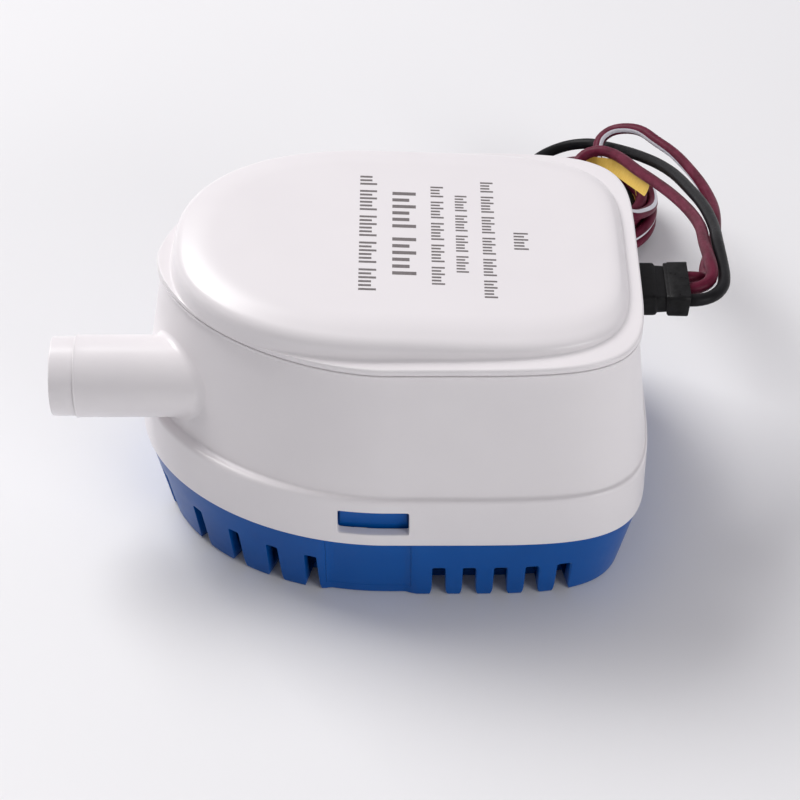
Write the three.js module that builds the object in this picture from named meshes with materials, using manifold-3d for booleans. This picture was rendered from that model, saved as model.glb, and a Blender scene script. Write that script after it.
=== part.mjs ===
// Automatic bilge pump: a blue strainer base, a white pump housing that unclips from it,
// a motor with a vaned rotor, a float switch, and three leads laid in a coil behind the pump.
// Millimetres, +Z up. The base stands on z = 0, the hose spigot points along -X, and the leads leave at +X.
import * as THREE from "three";
import { mergeVertices } from "three/addons/utils/BufferGeometryUtils.js";
import Module from "manifold-3d";

// ---------------------------------------------------------------- driving dimensions
const WALL = 2.4; // thickness of the moulded walls
const GAP = 0.3; // running gap between neighbouring pieces
const AROUND = 48; // steps round the casing

// Outlines seen from above: extent to the left and right, and half the width.
const BODY = { widest: 9, leftPower: 1.72, rightPower: 5.4 };
const LID = { widest: 7.7, leftPower: 2.27, rightPower: 4.4 };
const FOOT = { ...BODY, left: -50, right: 70.2, half: 47.2, leftPower: 2 };
const SKIRT_LOW = { ...BODY, left: -55.2, right: 75, half: 51.3, leftPower: 1.93 };
const SKIRT_HIGH = { ...BODY, left: -54.8, right: 74.9, half: 50.8, leftPower: 1.93 };
const WALL_LOW = { ...BODY, left: -53.2, right: 74.2, half: 49.4, leftPower: 1.83 };
const WALL_HIGH = { ...BODY, left: -47.6, right: 70.8, half: 42.7 };
const RIM = { ...BODY, left: -48.6, right: 71.8, half: 43.7 };
const PLATEAU = { ...LID, left: -44.6, right: 68.6, half: 40 };
const TOP_FACE = { ...LID, left: -36.5, right: 65.8, half: 32.8 };

// Heights of the casing
const BASE_TOP = 21.5;
const BASE_RIM_TOP = 30;
const BASE_FLOOR = 2.5;
const SKIRT_BOTTOM = 21.9;
const SKIRT_TOP = 36.4;
const DECK = [40.5, 43];
const RIM_BOTTOM = 70;
const RIM_PART = 71;
const RIM_TOP = 73;
const LID_TOP_AT_ORIGIN = 79.8; // the lid's flat top falls gently away from the spigot
const LID_FALL = 0.042;

// Pump and motor, on one upright axis
const MOTOR_X = -6;
const IMPELLER_RADIUS = 15.5;
const VOLUTE_SMALL = 18;
const VOLUTE_LARGE = 25.4;
const VOLUTE_TOP = 38;
const VOLUTE_BOTTOM = 25.8;
const CAN_RADIUS = 15;
const CAN = [43.3, 69];
const SHAFT_RADIUS = 1.6;
const BORE_RUN = 1.9; // radius of every hole the shaft runs in

// Hose spigot
const SPIGOT_Y = -17;
const SPIGOT_Z = 48;
const SPIGOT_RADIUS = 10.4;
const SPIGOT_BORE = 8.4;
const SPIGOT_TIP = -75;
const RISER_X = -31.5;

// Latches
const WINDOW = { x: 5.6, width: 17.6, low: 25.5, high: 32.7 };
const TAB = { x: 4.2, width: 21.4, low: 3.3 };

// Float switch
const FLOAT_PIVOT = { x: 26, z: 24 };

// Leads
const LEAD_RADIUS = 1.6;
const LEAD_PITCH = 4.6;
const EXIT_Y = 1;
const EXIT_Z = 61.5;
const BOOT_END = 84.7;
const COIL = { x: 68, y: 105, inner: 11.3, outer: 21.7, height: 17 };

const wasm = await Module();
wasm.setup();
const part = new THREE.Group();

// ---------------------------------------------------------------- solids from three.js geometry

// A closed three.js geometry as a manifold-3d solid.
function solid(geometry) {
  const loose = geometry.index ? geometry.toNonIndexed() : geometry;
  const bare = new THREE.BufferGeometry();
  bare.setAttribute("position", loose.getAttribute("position"));
  const merged = mergeVertices(bare, 1e-3);
  const triVerts = new Uint32Array(merged.index.array);
  const vertProperties = new Float32Array(merged.attributes.position.array);
  return new wasm.Manifold(new wasm.Mesh({ numProp: 3, vertProperties, triVerts }));
}

function geometryOf(shape) {
  const { vertProperties, triVerts } = shape.getMesh();
  const geometry = new THREE.BufferGeometry();
  geometry.setAttribute("position", new THREE.BufferAttribute(vertProperties, 3));
  geometry.setIndex(new THREE.BufferAttribute(triVerts, 1));
  const faceted = geometry.toNonIndexed();
  faceted.computeVertexNormals();
  return faceted;
}

const joined = (...solids) => solids.reduce((sum, next) => sum.add(next));
const cut = (body, ...tools) => tools.reduce((rest, tool) => rest.subtract(tool), body);

function material(color, roughness, metalness = 0) {
  return new THREE.MeshStandardMaterial({ color, roughness, metalness });
}
const WHITE_PLASTIC = () => material(0xdcdbde, 0.35);
const BLUE_PLASTIC = () => material(0x0a4a94, 0.35);
const BLACK_PLASTIC = () => material(0x17171a, 0.5);
const BLACK_RUBBER = () => material(0x1b1b1d, 0.75);
const STEEL = () => material(0xa9acb0, 0.3, 1);
const IRON = () => material(0x5d5f63, 0.5, 0.9);
const BRASS = () => material(0xb98d45, 0.35, 1);
const COPPER = () => material(0xb06a3a, 0.35, 1);
const RED_PVC = () => material(0x6e2340, 0.45);
const BLACK_PVC = () => material(0x161618, 0.45);

function add(name, shape, finish) {
  const mesh = new THREE.Mesh(geometryOf(shape), finish);
  mesh.name = name;
  part.add(mesh);
}

// A block by its centre in x and y, and its lowest and highest z.
function block(x, y, low, high, width, depth) {
  const geometry = new THREE.BoxGeometry(width, depth, high - low);
  return solid(geometry.translate(x, y, (low + high) / 2));
}

// An upright round rod.
function rod(x, y, low, high, radius, sides = 24) {
  const geometry = new THREE.CylinderGeometry(radius, radius, high - low, sides);
  return solid(geometry.rotateX(Math.PI / 2).translate(x, y, (low + high) / 2));
}

// A body turned about an upright axis from [radius, z] points that start and end on the axis.
function turned(x, y, points, sides = 24) {
  const profile = points.map(([radius, z]) => new THREE.Vector2(radius, z));
  return solid(new THREE.LatheGeometry(profile, sides).rotateX(Math.PI / 2).translate(x, y, 0));
}

// An upright tube or ring with square corners.
function ring(x, y, low, high, inner, outer, sides = 24) {
  return turned(x, y, [[inner, low], [outer, low], [outer, high], [inner, high], [inner, low]], sides);
}

// A flat shape in the x-y plane, thickened from low to high.
function slab(shape, low, high, curveSegments = 12) {
  const options = { depth: high - low, bevelEnabled: false, curveSegments };
  return solid(new THREE.ExtrudeGeometry(shape, options).translate(0, 0, low));
}

// A round tube that follows a list of points.
function tube(points, radius, steps, sides = 8) {
  const path = new THREE.CatmullRomCurve3(points.map((p) => new THREE.Vector3(...p)), false, "centripetal");
  const section = new THREE.Shape();
  for (let k = 0; k < sides; k++) {
    const angle = (2 * Math.PI * k) / sides;
    const x = radius * Math.cos(angle);
    const y = radius * Math.sin(angle);
    if (k === 0) section.moveTo(x, y);
    else section.lineTo(x, y);
  }
  section.closePath();
  return solid(new THREE.ExtrudeGeometry(section, { steps, extrudePath: path, bevelEnabled: false }));
}

// ---------------------------------------------------------------- outlines and lofts

function outlinePoint(outline, angle) {
  const across = Math.cos(angle);
  const up = Math.sin(angle);
  const power = across < 0 ? outline.leftPower : outline.rightPower;
  const reach = across < 0 ? outline.left - outline.widest : outline.right - outline.widest;
  return [
    outline.widest + reach * Math.abs(across) ** (2 / power),
    Math.sign(up) * outline.half * Math.abs(up) ** (2 / power),
  ];
}

const inset = (outline, by) => ({
  ...outline,
  left: outline.left + by,
  right: outline.right - by,
  half: outline.half - by,
});

function between(low, high, share) {
  const mix = (a, b) => a + (b - a) * share;
  return {
    ...low,
    left: mix(low.left, high.left),
    right: mix(low.right, high.right),
    half: mix(low.half, high.half),
    leftPower: mix(low.leftPower, high.leftPower),
  };
}
const wallAt = (z) => between(WALL_LOW, WALL_HIGH, (z - SKIRT_TOP) / (RIM_BOTTOM - SKIRT_TOP));
const skirtAt = (z) => between(SKIRT_LOW, SKIRT_HIGH, (z - SKIRT_BOTTOM) / (SKIRT_TOP - SKIRT_BOTTOM));

// Angles that share out the outline's length and its turning evenly.
function evenAngles(outline, count) {
  const fine = 1440;
  const measure = [0];
  for (let i = 1; i <= fine; i++) {
    const [x0, y0] = outlinePoint(outline, (2 * Math.PI * (i - 1)) / fine);
    const [x1, y1] = outlinePoint(outline, (2 * Math.PI * i) / fine);
    const [x2, y2] = outlinePoint(outline, (2 * Math.PI * (i + 1)) / fine);
    const turn = Math.atan2(y2 - y1, x2 - x1) - Math.atan2(y1 - y0, x1 - x0);
    const bend = Math.abs(Math.atan2(Math.sin(turn), Math.cos(turn)));
    measure.push(measure[i - 1] + Math.hypot(x1 - x0, y1 - y0) + 25 * bend);
  }
  const angles = [];
  let i = 0;
  for (let k = 0; k < count; k++) {
    const wanted = (measure[fine] * k) / count;
    while (measure[i + 1] < wanted) i++;
    angles.push((2 * Math.PI * (i + (wanted - measure[i]) / (measure[i + 1] - measure[i]))) / fine);
  }
  return angles;
}
const ANGLES = evenAngles(SKIRT_LOW, AROUND);

// A body lofted through [outline, z] rings. Going up is the outside; an outline of null is a point on the
// axis, and z may be a function of x and y.
function loft(rings) {
  const profile = rings.map(([outline], k) => new THREE.Vector2(outline ? 1 : 0, k));
  const geometry = new THREE.LatheGeometry(profile, AROUND);
  const position = geometry.getAttribute("position");
  for (let i = 0; i <= AROUND; i++) {
    rings.forEach(([outline, height], k) => {
      const [x, y] = outline ? outlinePoint(outline, ANGLES[i % AROUND]) : [BODY.widest, 0];
      const z = typeof height === "function" ? height(x, y) : height;
      position.setXYZ(i * rings.length + k, x, y, z);
    });
  }
  return solid(geometry);
}

// The point on the lower or upper half of an outline at a given x, with the direction straight out of it.
function outlineAt(outline, x, side) {
  let low = 0;
  let high = Math.PI;
  for (let i = 0; i < 40; i++) {
    const middle = (low + high) / 2;
    if (outlinePoint(outline, middle)[0] > x) low = middle;
    else high = middle;
  }
  const before = outlinePoint(outline, low - 1e-3);
  const after = outlinePoint(outline, low + 1e-3);
  const slope = Math.atan2(after[1] - before[1], after[0] - before[0]);
  const [px, py] = outlinePoint(outline, low);
  return { x: px, y: side * py, out: side * (slope - Math.PI / 2) };
}

// ---------------------------------------------------------------- strainer base and its latch tabs

function strainerShell() {
  return loft([
    [null, 0],
    [inset(FOOT, 1), 0],
    [FOOT, 1],
    [inset(skirtAt(BASE_TOP), 0.5), BASE_TOP],
    [inset(SKIRT_LOW, 3), BASE_TOP],
    [inset(SKIRT_LOW, 3.3), BASE_RIM_TOP],
    [inset(SKIRT_LOW, 5.4), BASE_RIM_TOP],
    [inset(SKIRT_LOW, 5.4), 19.5],
    [inset(SKIRT_LOW, 3), 17],
    [inset(FOOT, WALL), BASE_FLOOR],
    [null, BASE_FLOOR],
  ]);
}

// A notch open at the bottom, wider at its foot, cut square to the wall.
function notch(x, side, height) {
  const at = outlineAt(FOOT, x, side);
  const shape = new THREE.Shape();
  shape.moveTo(-2.6, -1);
  shape.lineTo(2.6, -1);
  shape.quadraticCurveTo(1.9, 0.6, 1.7, 2);
  shape.lineTo(1.6, height - 0.8);
  shape.lineTo(0.8, height);
  shape.lineTo(-0.8, height);
  shape.lineTo(-1.6, height - 0.8);
  shape.lineTo(-1.7, 2);
  shape.quadraticCurveTo(-1.9, 0.6, -2.6, -1);
  const geometry = new THREE.ExtrudeGeometry(shape, { depth: 14, bevelEnabled: false, curveSegments: 2 });
  geometry.translate(0, 0, -7).rotateX(Math.PI / 2).rotateZ(at.out + Math.PI / 2);
  return solid(geometry.translate(at.x, at.y, 0));
}

const STRAIGHT_NOTCHES = [21.9, 29.7, 37.5, 45.4, 53.2];
const NOSE_NOTCHES = [-9.9, -19.5, -29.1, -38.3, -46.7];
const NOTCH_TOP = { straight: 11.6, nose: 13.8 };
const BASE_SCREWS = [[-38, 0], [52, 24], [52, -24]];

function strainerBase() {
  const tools = [];
  for (const side of [-1, 1]) {
    for (const x of STRAIGHT_NOTCHES) tools.push(notch(x, side, NOTCH_TOP.straight));
    for (const x of NOSE_NOTCHES) tools.push(notch(x, side, NOTCH_TOP.nose));
    tools.push(block(TAB.x, side * 46, TAB.low - GAP, 40, TAB.width + 2 * GAP, 16));
  }
  for (const [x, y] of BASE_SCREWS) tools.push(rod(x, y, -1, 5, 2.4, 16));
  return cut(strainerShell(), ...tools);
}

// A springy tab of the base's wall, with a sloping hook that fills the housing's window.
function latchTab(side) {
  const panel = strainerShell().intersect(block(TAB.x, side * 46, TAB.low, 40, TAB.width, 14));
  const low = WINDOW.low + GAP;
  const high = WINDOW.high - 0.5;
  const hook = loft([
    [null, low],
    [inset(skirtAt(low), 3), low],
    [inset(skirtAt(high), 1.5), high - 1],
    [inset(skirtAt(high), 1.9), high],
    [null, high],
  ]);
  const within = block(WINDOW.x, side * 50, WINDOW.low, WINDOW.high, WINDOW.width - 1, 10.8);
  return joined(panel, hook.intersect(within));
}

add("strainer_base", strainerBase(), BLUE_PLASTIC());
add("latch_tab_front", latchTab(-1), BLUE_PLASTIC());
add("latch_tab_rear", latchTab(1), BLUE_PLASTIC());

// ---------------------------------------------------------------- housing

const spiralRadius = (share) => VOLUTE_SMALL + (VOLUTE_LARGE - VOLUTE_SMALL) * share;

// The volute's growing spiral, widened all round by "grow".
function spiral(grow) {
  const shape = new THREE.Shape();
  const steps = 28;
  for (let k = 0; k <= steps; k++) {
    const angle = -Math.PI / 2 - (2 * Math.PI * k) / steps;
    const radius = spiralRadius(k / steps) + grow;
    const x = MOTOR_X + radius * Math.cos(angle);
    const y = radius * Math.sin(angle);
    if (k === 0) shape.moveTo(x, y);
    else shape.lineTo(x, y);
  }
  shape.closePath();
  return shape;
}

// The passage from the volute, out to the riser, up it and along the spigot.
function waterway(grow, bottom, top, end) {
  const radius = SPIGOT_BORE + grow;
  const length = RISER_X - end;
  const along = new THREE.CylinderGeometry(radius, radius, length, 24).rotateZ(Math.PI / 2);
  const elbow = new THREE.SphereGeometry(radius, 24, 10).rotateX(Math.PI / 2);
  return joined(
    block((RISER_X + MOTOR_X) / 2, SPIGOT_Y, bottom, top, MOTOR_X - RISER_X, 2 * radius),
    rod(RISER_X, SPIGOT_Y, bottom, SPIGOT_Z, radius, 24),
    solid(elbow.translate(RISER_X, SPIGOT_Y, SPIGOT_Z)),
    solid(along.translate((RISER_X + end) / 2, SPIGOT_Y, SPIGOT_Z)),
  );
}

// The spigot's flared root and its slightly smaller tip, turned about its own axis.
function spigotSkin() {
  const profile = [
    [0, -RISER_X],
    [13.5, -RISER_X],
    [12.4, 43],
    [11.2, 46.5],
    [SPIGOT_RADIUS, 51],
    [SPIGOT_RADIUS, 68.6],
    [SPIGOT_RADIUS - 0.3, 68.9],
    [SPIGOT_RADIUS - 0.3, -SPIGOT_TIP - 0.6],
    [SPIGOT_RADIUS - 0.9, -SPIGOT_TIP],
    [0, -SPIGOT_TIP],
  ].map(([radius, along]) => new THREE.Vector2(radius, along));
  const geometry = new THREE.LatheGeometry(profile, 24).rotateZ(Math.PI / 2);
  return solid(geometry.translate(0, SPIGOT_Y, SPIGOT_Z));
}

// Screw bosses stand just outside the spiral, at these shares of its turn.
const VOLUTE_BOSSES = [0.38, 0.63, 0.88].map((share) => {
  const angle = -Math.PI / 2 - 2 * Math.PI * share;
  const reach = spiralRadius(share) + WALL + 2.6;
  return [MOTOR_X + reach * Math.cos(angle), reach * Math.sin(angle)];
});
const MOTOR_POSTS = [[MOTOR_X, -21], [MOTOR_X, 21]];
const BOARD_POSTS = [[27, 10], [49, -10]];
const REED_X = 41;

function housing() {
  const shell = loft([
    [SKIRT_LOW, SKIRT_BOTTOM],
    [SKIRT_HIGH, SKIRT_TOP - 1],
    [inset(SKIRT_HIGH, 0.3), SKIRT_TOP - 0.3],
    [inset(SKIRT_HIGH, 0.9), SKIRT_TOP],
    [WALL_LOW, SKIRT_TOP + 0.2],
    [WALL_HIGH, RIM_BOTTOM],
    [RIM, RIM_BOTTOM + 0.2],
    [RIM, RIM_PART],
    [inset(WALL_HIGH, WALL), RIM_PART],
    [inset(wallAt(65.2), WALL), 65.2],
    [inset(wallAt(65.2), 5), 65.2],
    [inset(wallAt(65.2), 5), 62.8],
    [inset(wallAt(60), WALL), 60],
    [inset(WALL_LOW, WALL), SKIRT_TOP - WALL + 0.2],
    [inset(SKIRT_HIGH, WALL), SKIRT_TOP - WALL],
    [inset(SKIRT_LOW, WALL), SKIRT_BOTTOM],
    [SKIRT_LOW, SKIRT_BOTTOM],
  ]);
  const deck = loft([
    [null, DECK[0]],
    [inset(wallAt(DECK[0]), 1.2), DECK[0]],
    [inset(wallAt(DECK[1]), 1.2), DECK[1]],
    [null, DECK[1]],
  ]);
  const bosses = VOLUTE_BOSSES.map(([x, y]) => rod(x, y, VOLUTE_BOTTOM, DECK[0] + 1, 3.6, 16));
  const posts = MOTOR_POSTS.map(([x, y]) => rod(x, y, DECK[1] - 1, 73.3, 3.5, 16));
  const feet = BOARD_POSTS.map(([x, y]) => rod(x, y, DECK[1] - 1, 47, 2.6, 12));
  const body = joined(
    shell,
    deck,
    slab(spiral(WALL), VOLUTE_BOTTOM, DECK[0] + 1),
    waterway(2, VOLUTE_BOTTOM, DECK[0] + 1, -46),
    spigotSkin().subtract(block(0, 0, 0, 90, 58, 200)),
    rod(REED_X, 0, 33.5, DECK[0] + 1, 4, 16),
    ...bosses,
    ...posts,
    ...feet,
  );
  const pilots = [
    ...VOLUTE_BOSSES.map(([x, y]) => rod(x, y, 20, 36, 1.3, 10)),
    ...MOTOR_POSTS.map(([x, y]) => rod(x, y, 61, 80, 1.3, 10)),
    ...BOARD_POSTS.map(([x, y]) => rod(x, y, 41.6, 50, 1, 8)),
  ];
  const windows = [-1, 1].map((side) =>
    block(WINDOW.x, side * 50, WINDOW.low, WINDOW.high, WINDOW.width, 12),
  );
  return cut(
    body,
    slab(spiral(0), 20, VOLUTE_TOP),
    waterway(0, 20, VOLUTE_TOP, SPIGOT_TIP - 1),
    rod(MOTOR_X, 0, 30, 50, 6),
    rod(REED_X, 0, 34.6, 50, 2.4, 12),
    rod(FLOAT_PIVOT.x, 0, 35, 50, 1.3, 10),
    block(66, EXIT_Y, 56, 66.5, 6.6, 21),
    block(69, EXIT_Y, EXIT_Z - 3.7, EXIT_Z + 3.7, 14, 16.6),
    ...windows,
    ...pilots,
  );
}

add("housing", housing(), WHITE_PLASTIC());

// ---------------------------------------------------------------- cover and its seal

const lidTop = (drop) => (x) => LID_TOP_AT_ORIGIN - LID_FALL * x - drop;

function topCover() {
  return loft([
    [null, lidTop(WALL)],
    [inset(TOP_FACE, 1), lidTop(WALL)],
    [inset(PLATEAU, WALL), lidTop(6)],
    [inset(PLATEAU, WALL), RIM_PART - 1],
    [inset(wallAt(67), 5), 67],
    [inset(wallAt(67), WALL + 0.4), 67],
    [inset(WALL_HIGH, WALL + 0.4), RIM_PART + GAP],
    [RIM, RIM_PART + GAP],
    [RIM, RIM_TOP - 0.7],
    [inset(RIM, 0.8), RIM_TOP],
    [PLATEAU, RIM_TOP + 0.1],
    [inset(PLATEAU, 0.7), lidTop(3)],
    [inset(PLATEAU, 2.5), lidTop(1.5)],
    [TOP_FACE, lidTop(0.2)],
    [inset(TOP_FACE, 6), lidTop(0)],
    [null, lidTop(0)],
  ]);
}

function coverSeal() {
  return loft([
    [inset(wallAt(66), 4.8), 65.5],
    [inset(wallAt(66), WALL + GAP), 65.5],
    [inset(wallAt(66), WALL + GAP), 66.7],
    [inset(wallAt(66), 4.8), 66.7],
    [inset(wallAt(66), 4.8), 65.5],
  ]);
}

add("top_cover", topCover(), WHITE_PLASTIC());
add("cover_seal", coverSeal(), BLACK_RUBBER());

// ---------------------------------------------------------------- intake plate and impeller

// A screw along +Z from its head, or along -Z when it points down.
function screw(x, y, head, tip, headRadius, shankRadius) {
  const down = Math.sign(tip - head);
  const under = head + down * 1.4;
  const low = (a, b) => [Math.min(a, b), Math.max(a, b)];
  const cap = rod(x, y, ...low(head, under), headRadius, 16);
  const slot = block(x, y, ...low(head - down * 0.2, head + down * 0.6), 2 * headRadius + 1, 0.8);
  return joined(cap.subtract(slot), rod(x, y, ...low(under - down * 0.2, tip), shankRadius, 10));
}

function intakePlate() {
  const low = 23;
  const high = VOLUTE_BOTTOM - GAP;
  const ears = VOLUTE_BOSSES.map(([x, y]) => rod(x, y, low, high, 4.2, 16));
  const plate = joined(
    slab(spiral(WALL), low, high),
    rod(RISER_X, SPIGOT_Y, low, high, SPIGOT_BORE + 2, 28),
    block((RISER_X + MOTOR_X) / 2, SPIGOT_Y, low, high, MOTOR_X - RISER_X, 2 * SPIGOT_BORE + 4),
    rod(MOTOR_X, 0, 19.8, high, 10.5, 28),
    ...ears,
  );
  const holes = VOLUTE_BOSSES.map(([x, y]) => rod(x, y, 15, 30, 1.5, 12));
  return cut(plate, rod(MOTOR_X, 0, 15, 30, 8.5, 28), ...holes);
}

function impeller() {
  const vanes = [];
  const count = 5;
  for (let k = 0; k < count; k++) {
    const vane = new THREE.Shape();
    vane.moveTo(3.5, -0.7);
    vane.quadraticCurveTo(9.5, -0.7, 14, 5.2);
    vane.lineTo(13, 6.2);
    vane.quadraticCurveTo(9, 0.7, 3.5, 0.7);
    vane.closePath();
    const options = { depth: 7.4, bevelEnabled: false, curveSegments: 5 };
    const geometry = new THREE.ExtrudeGeometry(vane, options).translate(0, 0, 28.2);
    vanes.push(solid(geometry.rotateZ((2 * Math.PI * k) / count).translate(MOTOR_X, 0, 0)));
  }
  const shroud = turned(MOTOR_X, 0, [
    [0, 27.6],
    [3, 27.6],
    [4.2, 29.5],
    [4.6, 35.2],
    [IMPELLER_RADIUS, 35.4],
    [IMPELLER_RADIUS, 36.8],
    [4.6, 37.2],
    [0, 37.2],
  ], 30);
  return cut(joined(shroud, ...vanes), rod(MOTOR_X, 0, 29.7, 40, BORE_RUN, 16));
}

add("intake_plate", intakePlate(), WHITE_PLASTIC());
add("impeller", impeller(), BLACK_PLASTIC());
VOLUTE_BOSSES.forEach(([x, y], k) => {
  add(`volute_screw_${k + 1}`, screw(x, y, 21.3, 34, 2.9, 1), STEEL());
});

// ---------------------------------------------------------------- motor

const CORE = [50, 62];
const POLES = 5;

// The slotted iron core; "grow" widens it all round to make room for itself in the windings.
function coreShape(grow) {
  const [low, high] = CORE;
  const arms = [];
  for (let k = 0; k < POLES; k++) {
    const web = new THREE.BoxGeometry(8, 2.8 + 2 * grow, high - low + 2 * grow).translate(6, 0, (low + high) / 2);
    const tip = new THREE.Shape();
    const half = (0.4 * 2 * Math.PI) / POLES + grow / 10;
    tip.absarc(0, 0, 10.6 + grow, -half, half, false);
    tip.absarc(0, 0, 8.9 - grow, half, -half, true);
    tip.closePath();
    const options = { depth: high - low + 2 * grow, bevelEnabled: false, curveSegments: 5 };
    const shoe = new THREE.ExtrudeGeometry(tip, options).translate(0, 0, low - grow);
    for (const piece of [web, shoe]) {
      arms.push(solid(piece.rotateZ((2 * Math.PI * k) / POLES).translate(MOTOR_X, 0, 0)));
    }
  }
  return joined(rod(MOTOR_X, 0, low - grow, high + grow, 4 + grow, 20), ...arms);
}

function armatureWindings() {
  const bundle = turned(MOTOR_X, 0, [
    [BORE_RUN, 48.2],
    [7.4, 48.2],
    [8.5, 49.4],
    [8.5, 63.2],
    [7.4, 64.6],
    [BORE_RUN, 64.6],
    [BORE_RUN, 48.2],
  ], 30);
  return bundle.subtract(coreShape(GAP));
}

function motorCan() {
  const [low, high] = CAN;
  return turned(MOTOR_X, 0, [
    [4.9, low],
    [CAN_RADIUS - 1, low],
    [CAN_RADIUS, low + 1],
    [CAN_RADIUS, high],
    [CAN_RADIUS - 1, high],
    [CAN_RADIUS - 1, low + 1.2],
    [4.9, low + 1.2],
    [4.9, low],
  ], 36);
}

function fieldMagnet(side) {
  const sector = new THREE.Shape();
  sector.absarc(0, 0, 13.7, -1.1, 1.1, false);
  sector.absarc(0, 0, 11.5, 1.1, -1.1, true);
  sector.closePath();
  const geometry = new THREE.ExtrudeGeometry(sector, { depth: 17, bevelEnabled: false, curveSegments: 10 });
  geometry.translate(0, 0, 47).rotateZ(side > 0 ? 0 : Math.PI);
  return solid(geometry.translate(MOTOR_X, 0, 0));
}

function motorEndCap() {
  const holders = [];
  const pockets = [];
  for (const side of [-1, 1]) {
    holders.push(block(MOTOR_X + side * 8.6, 0, 65.4, 69.6, 9, 6.6));
    pockets.push(block(MOTOR_X + side * 7.6, 0, 66.2, 69, 9, 4.4));
  }
  const cap = joined(rod(MOTOR_X, 0, 69.3, 73.3, CAN_RADIUS, 36), ...holders);
  return cut(cap, ...pockets, rod(MOTOR_X, 0, 69, 80, 4.4, 20), rod(MOTOR_X, 0, 60, 80, 4.1, 20));
}

// A small coil spring that presses a brush inwards along X.
function brushSpring(side) {
  const turns = 2.5;
  const steps = 24;
  const points = [];
  for (let k = 0; k <= steps; k++) {
    const angle = (2 * Math.PI * turns * k) / steps;
    const along = 9.1 + (2 * k) / steps;
    points.push([MOTOR_X + side * along, 0.8 * Math.cos(angle), 67.6 + 0.8 * Math.sin(angle)]);
  }
  return tube(points, 0.25, 30, 5);
}

add("motor_can", motorCan(), STEEL());
add("motor_end_cap", motorEndCap(), BLACK_PLASTIC());
add("armature_core", cut(coreShape(0), rod(MOTOR_X, 0, 40, 70, BORE_RUN, 16)), IRON());
add("armature_windings", armatureWindings(), COPPER());
add("commutator", ring(MOTOR_X, 0, 64.9, 68.8, BORE_RUN, 3.4, 20), COPPER());
add("motor_shaft", rod(MOTOR_X, 0, 30, 73, SHAFT_RADIUS, 16), STEEL());
add("lower_bush", ring(MOTOR_X, 0, 43.4, 46.4, BORE_RUN, 4.6, 20), BRASS());
add("upper_bush", ring(MOTOR_X, 0, 69.5, 73, BORE_RUN, 4.1, 20), BRASS());
add("thrust_washer", ring(MOTOR_X, 0, 46.7, 47.4, BORE_RUN, 4.4, 20), BLACK_PLASTIC());
add("shaft_seal", ring(MOTOR_X, 0, 38.3, 42.7, BORE_RUN, 5.7, 20), BLACK_RUBBER());
for (const [word, side] of [["left", -1], ["right", 1]]) {
  add(`field_magnet_${word}`, fieldMagnet(side), IRON());
  add(`brush_${word}`, block(MOTOR_X + side * 6.2, 0, 66.5, 68.7, 5, 3.8), IRON());
  add(`brush_spring_${word}`, brushSpring(side), STEEL());
}

function motorStrap() {
  const strap = block(MOTOR_X, 0, 73.6, 74.8, 7, 50);
  const holes = MOTOR_POSTS.map(([x, y]) => rod(x, y, 70, 80, 1.5, 12));
  return cut(strap, rod(MOTOR_X, 0, 70, 80, 2.4, 16), ...holes);
}
add("motor_strap", motorStrap(), STEEL());
MOTOR_POSTS.forEach(([x, y], k) => {
  add(`motor_screw_${k + 1}`, screw(x, y, 76.5, 64, 2.7, 1), STEEL());
});

// ---------------------------------------------------------------- float switch

function floatBody() {
  const shape = new THREE.Shape();
  shape.moveTo(37, -20);
  shape.lineTo(61, -20);
  shape.lineTo(62, -19);
  shape.lineTo(62, 19);
  shape.lineTo(61, 20);
  shape.lineTo(37, 20);
  shape.lineTo(36, 19);
  shape.lineTo(36, -19);
  shape.closePath();
  const options = { depth: 11, bevelEnabled: true, bevelSize: 1, bevelThickness: 1, bevelSegments: 1 };
  return solid(new THREE.ExtrudeGeometry(shape, options).translate(0, 0, 7));
}

// A round rod across the pump, along Y.
function crossRod(radius, length, sides = 16) {
  const geometry = new THREE.CylinderGeometry(radius, radius, length, sides);
  return solid(geometry.translate(FLOAT_PIVOT.x, 0, 0).translate(0, 0, FLOAT_PIVOT.z));
}

function floatArm() {
  const arm = joined(crossRod(3.4, 12), block(FLOAT_PIVOT.x + 10, 0, 19.3, 21.8, 20, 10));
  return arm.subtract(crossRod(1.5, 20));
}

function floatBracket() {
  const cheeks = [-1, 1].map((side) => joined(
    block(FLOAT_PIVOT.x, side * 7.6, 22, 40.2, 8, 2),
    block(FLOAT_PIVOT.x, side * 7.6, 20.5, 22.5, 6, 2),
  ));
  const bridge = block(FLOAT_PIVOT.x, 0, 38.2, 40.2, 8, 17.2);
  return cut(joined(bridge, ...cheeks), crossRod(1.5, 20), rod(FLOAT_PIVOT.x, 0, 30, 50, 1.5, 12));
}

add("float", floatBody(), material(0xe0812c, 0.6));
add("float_arm", floatArm(), BLACK_PLASTIC());
add("float_magnet", rod(FLOAT_PIVOT.x + 15, 0, 22.1, 24.1, 2.8, 16), IRON());
add("float_pin", crossRod(1.2, 19, 12), STEEL());
add("float_bracket", floatBracket(), WHITE_PLASTIC());
add("bracket_screw", screw(FLOAT_PIVOT.x, 0, 36.5, 45, 2.7, 1), STEEL());
add("reed_switch", rod(REED_X, 0, 35, 46.8, 1.7, 12), material(0x9fc4b4, 0.1));

function switchBoard() {
  const board = block(38, 0, 47.3, 48.9, 32, 28);
  const holes = BOARD_POSTS.map(([x, y]) => rod(x, y, 40, 60, 1.4, 12));
  return cut(board, ...holes);
}
add("switch_board", switchBoard(), material(0x2f6b45, 0.5));
add("relay", block(36, -2, 49.2, 58, 14, 11), BLACK_PLASTIC());
BOARD_POSTS.forEach(([x, y], k) => {
  add(`board_screw_${k + 1}`, screw(x, y, 50.6, 43.2, 2.4, 0.7), STEEL());
});

// ---------------------------------------------------------------- inner leads, gland and boot

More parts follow.
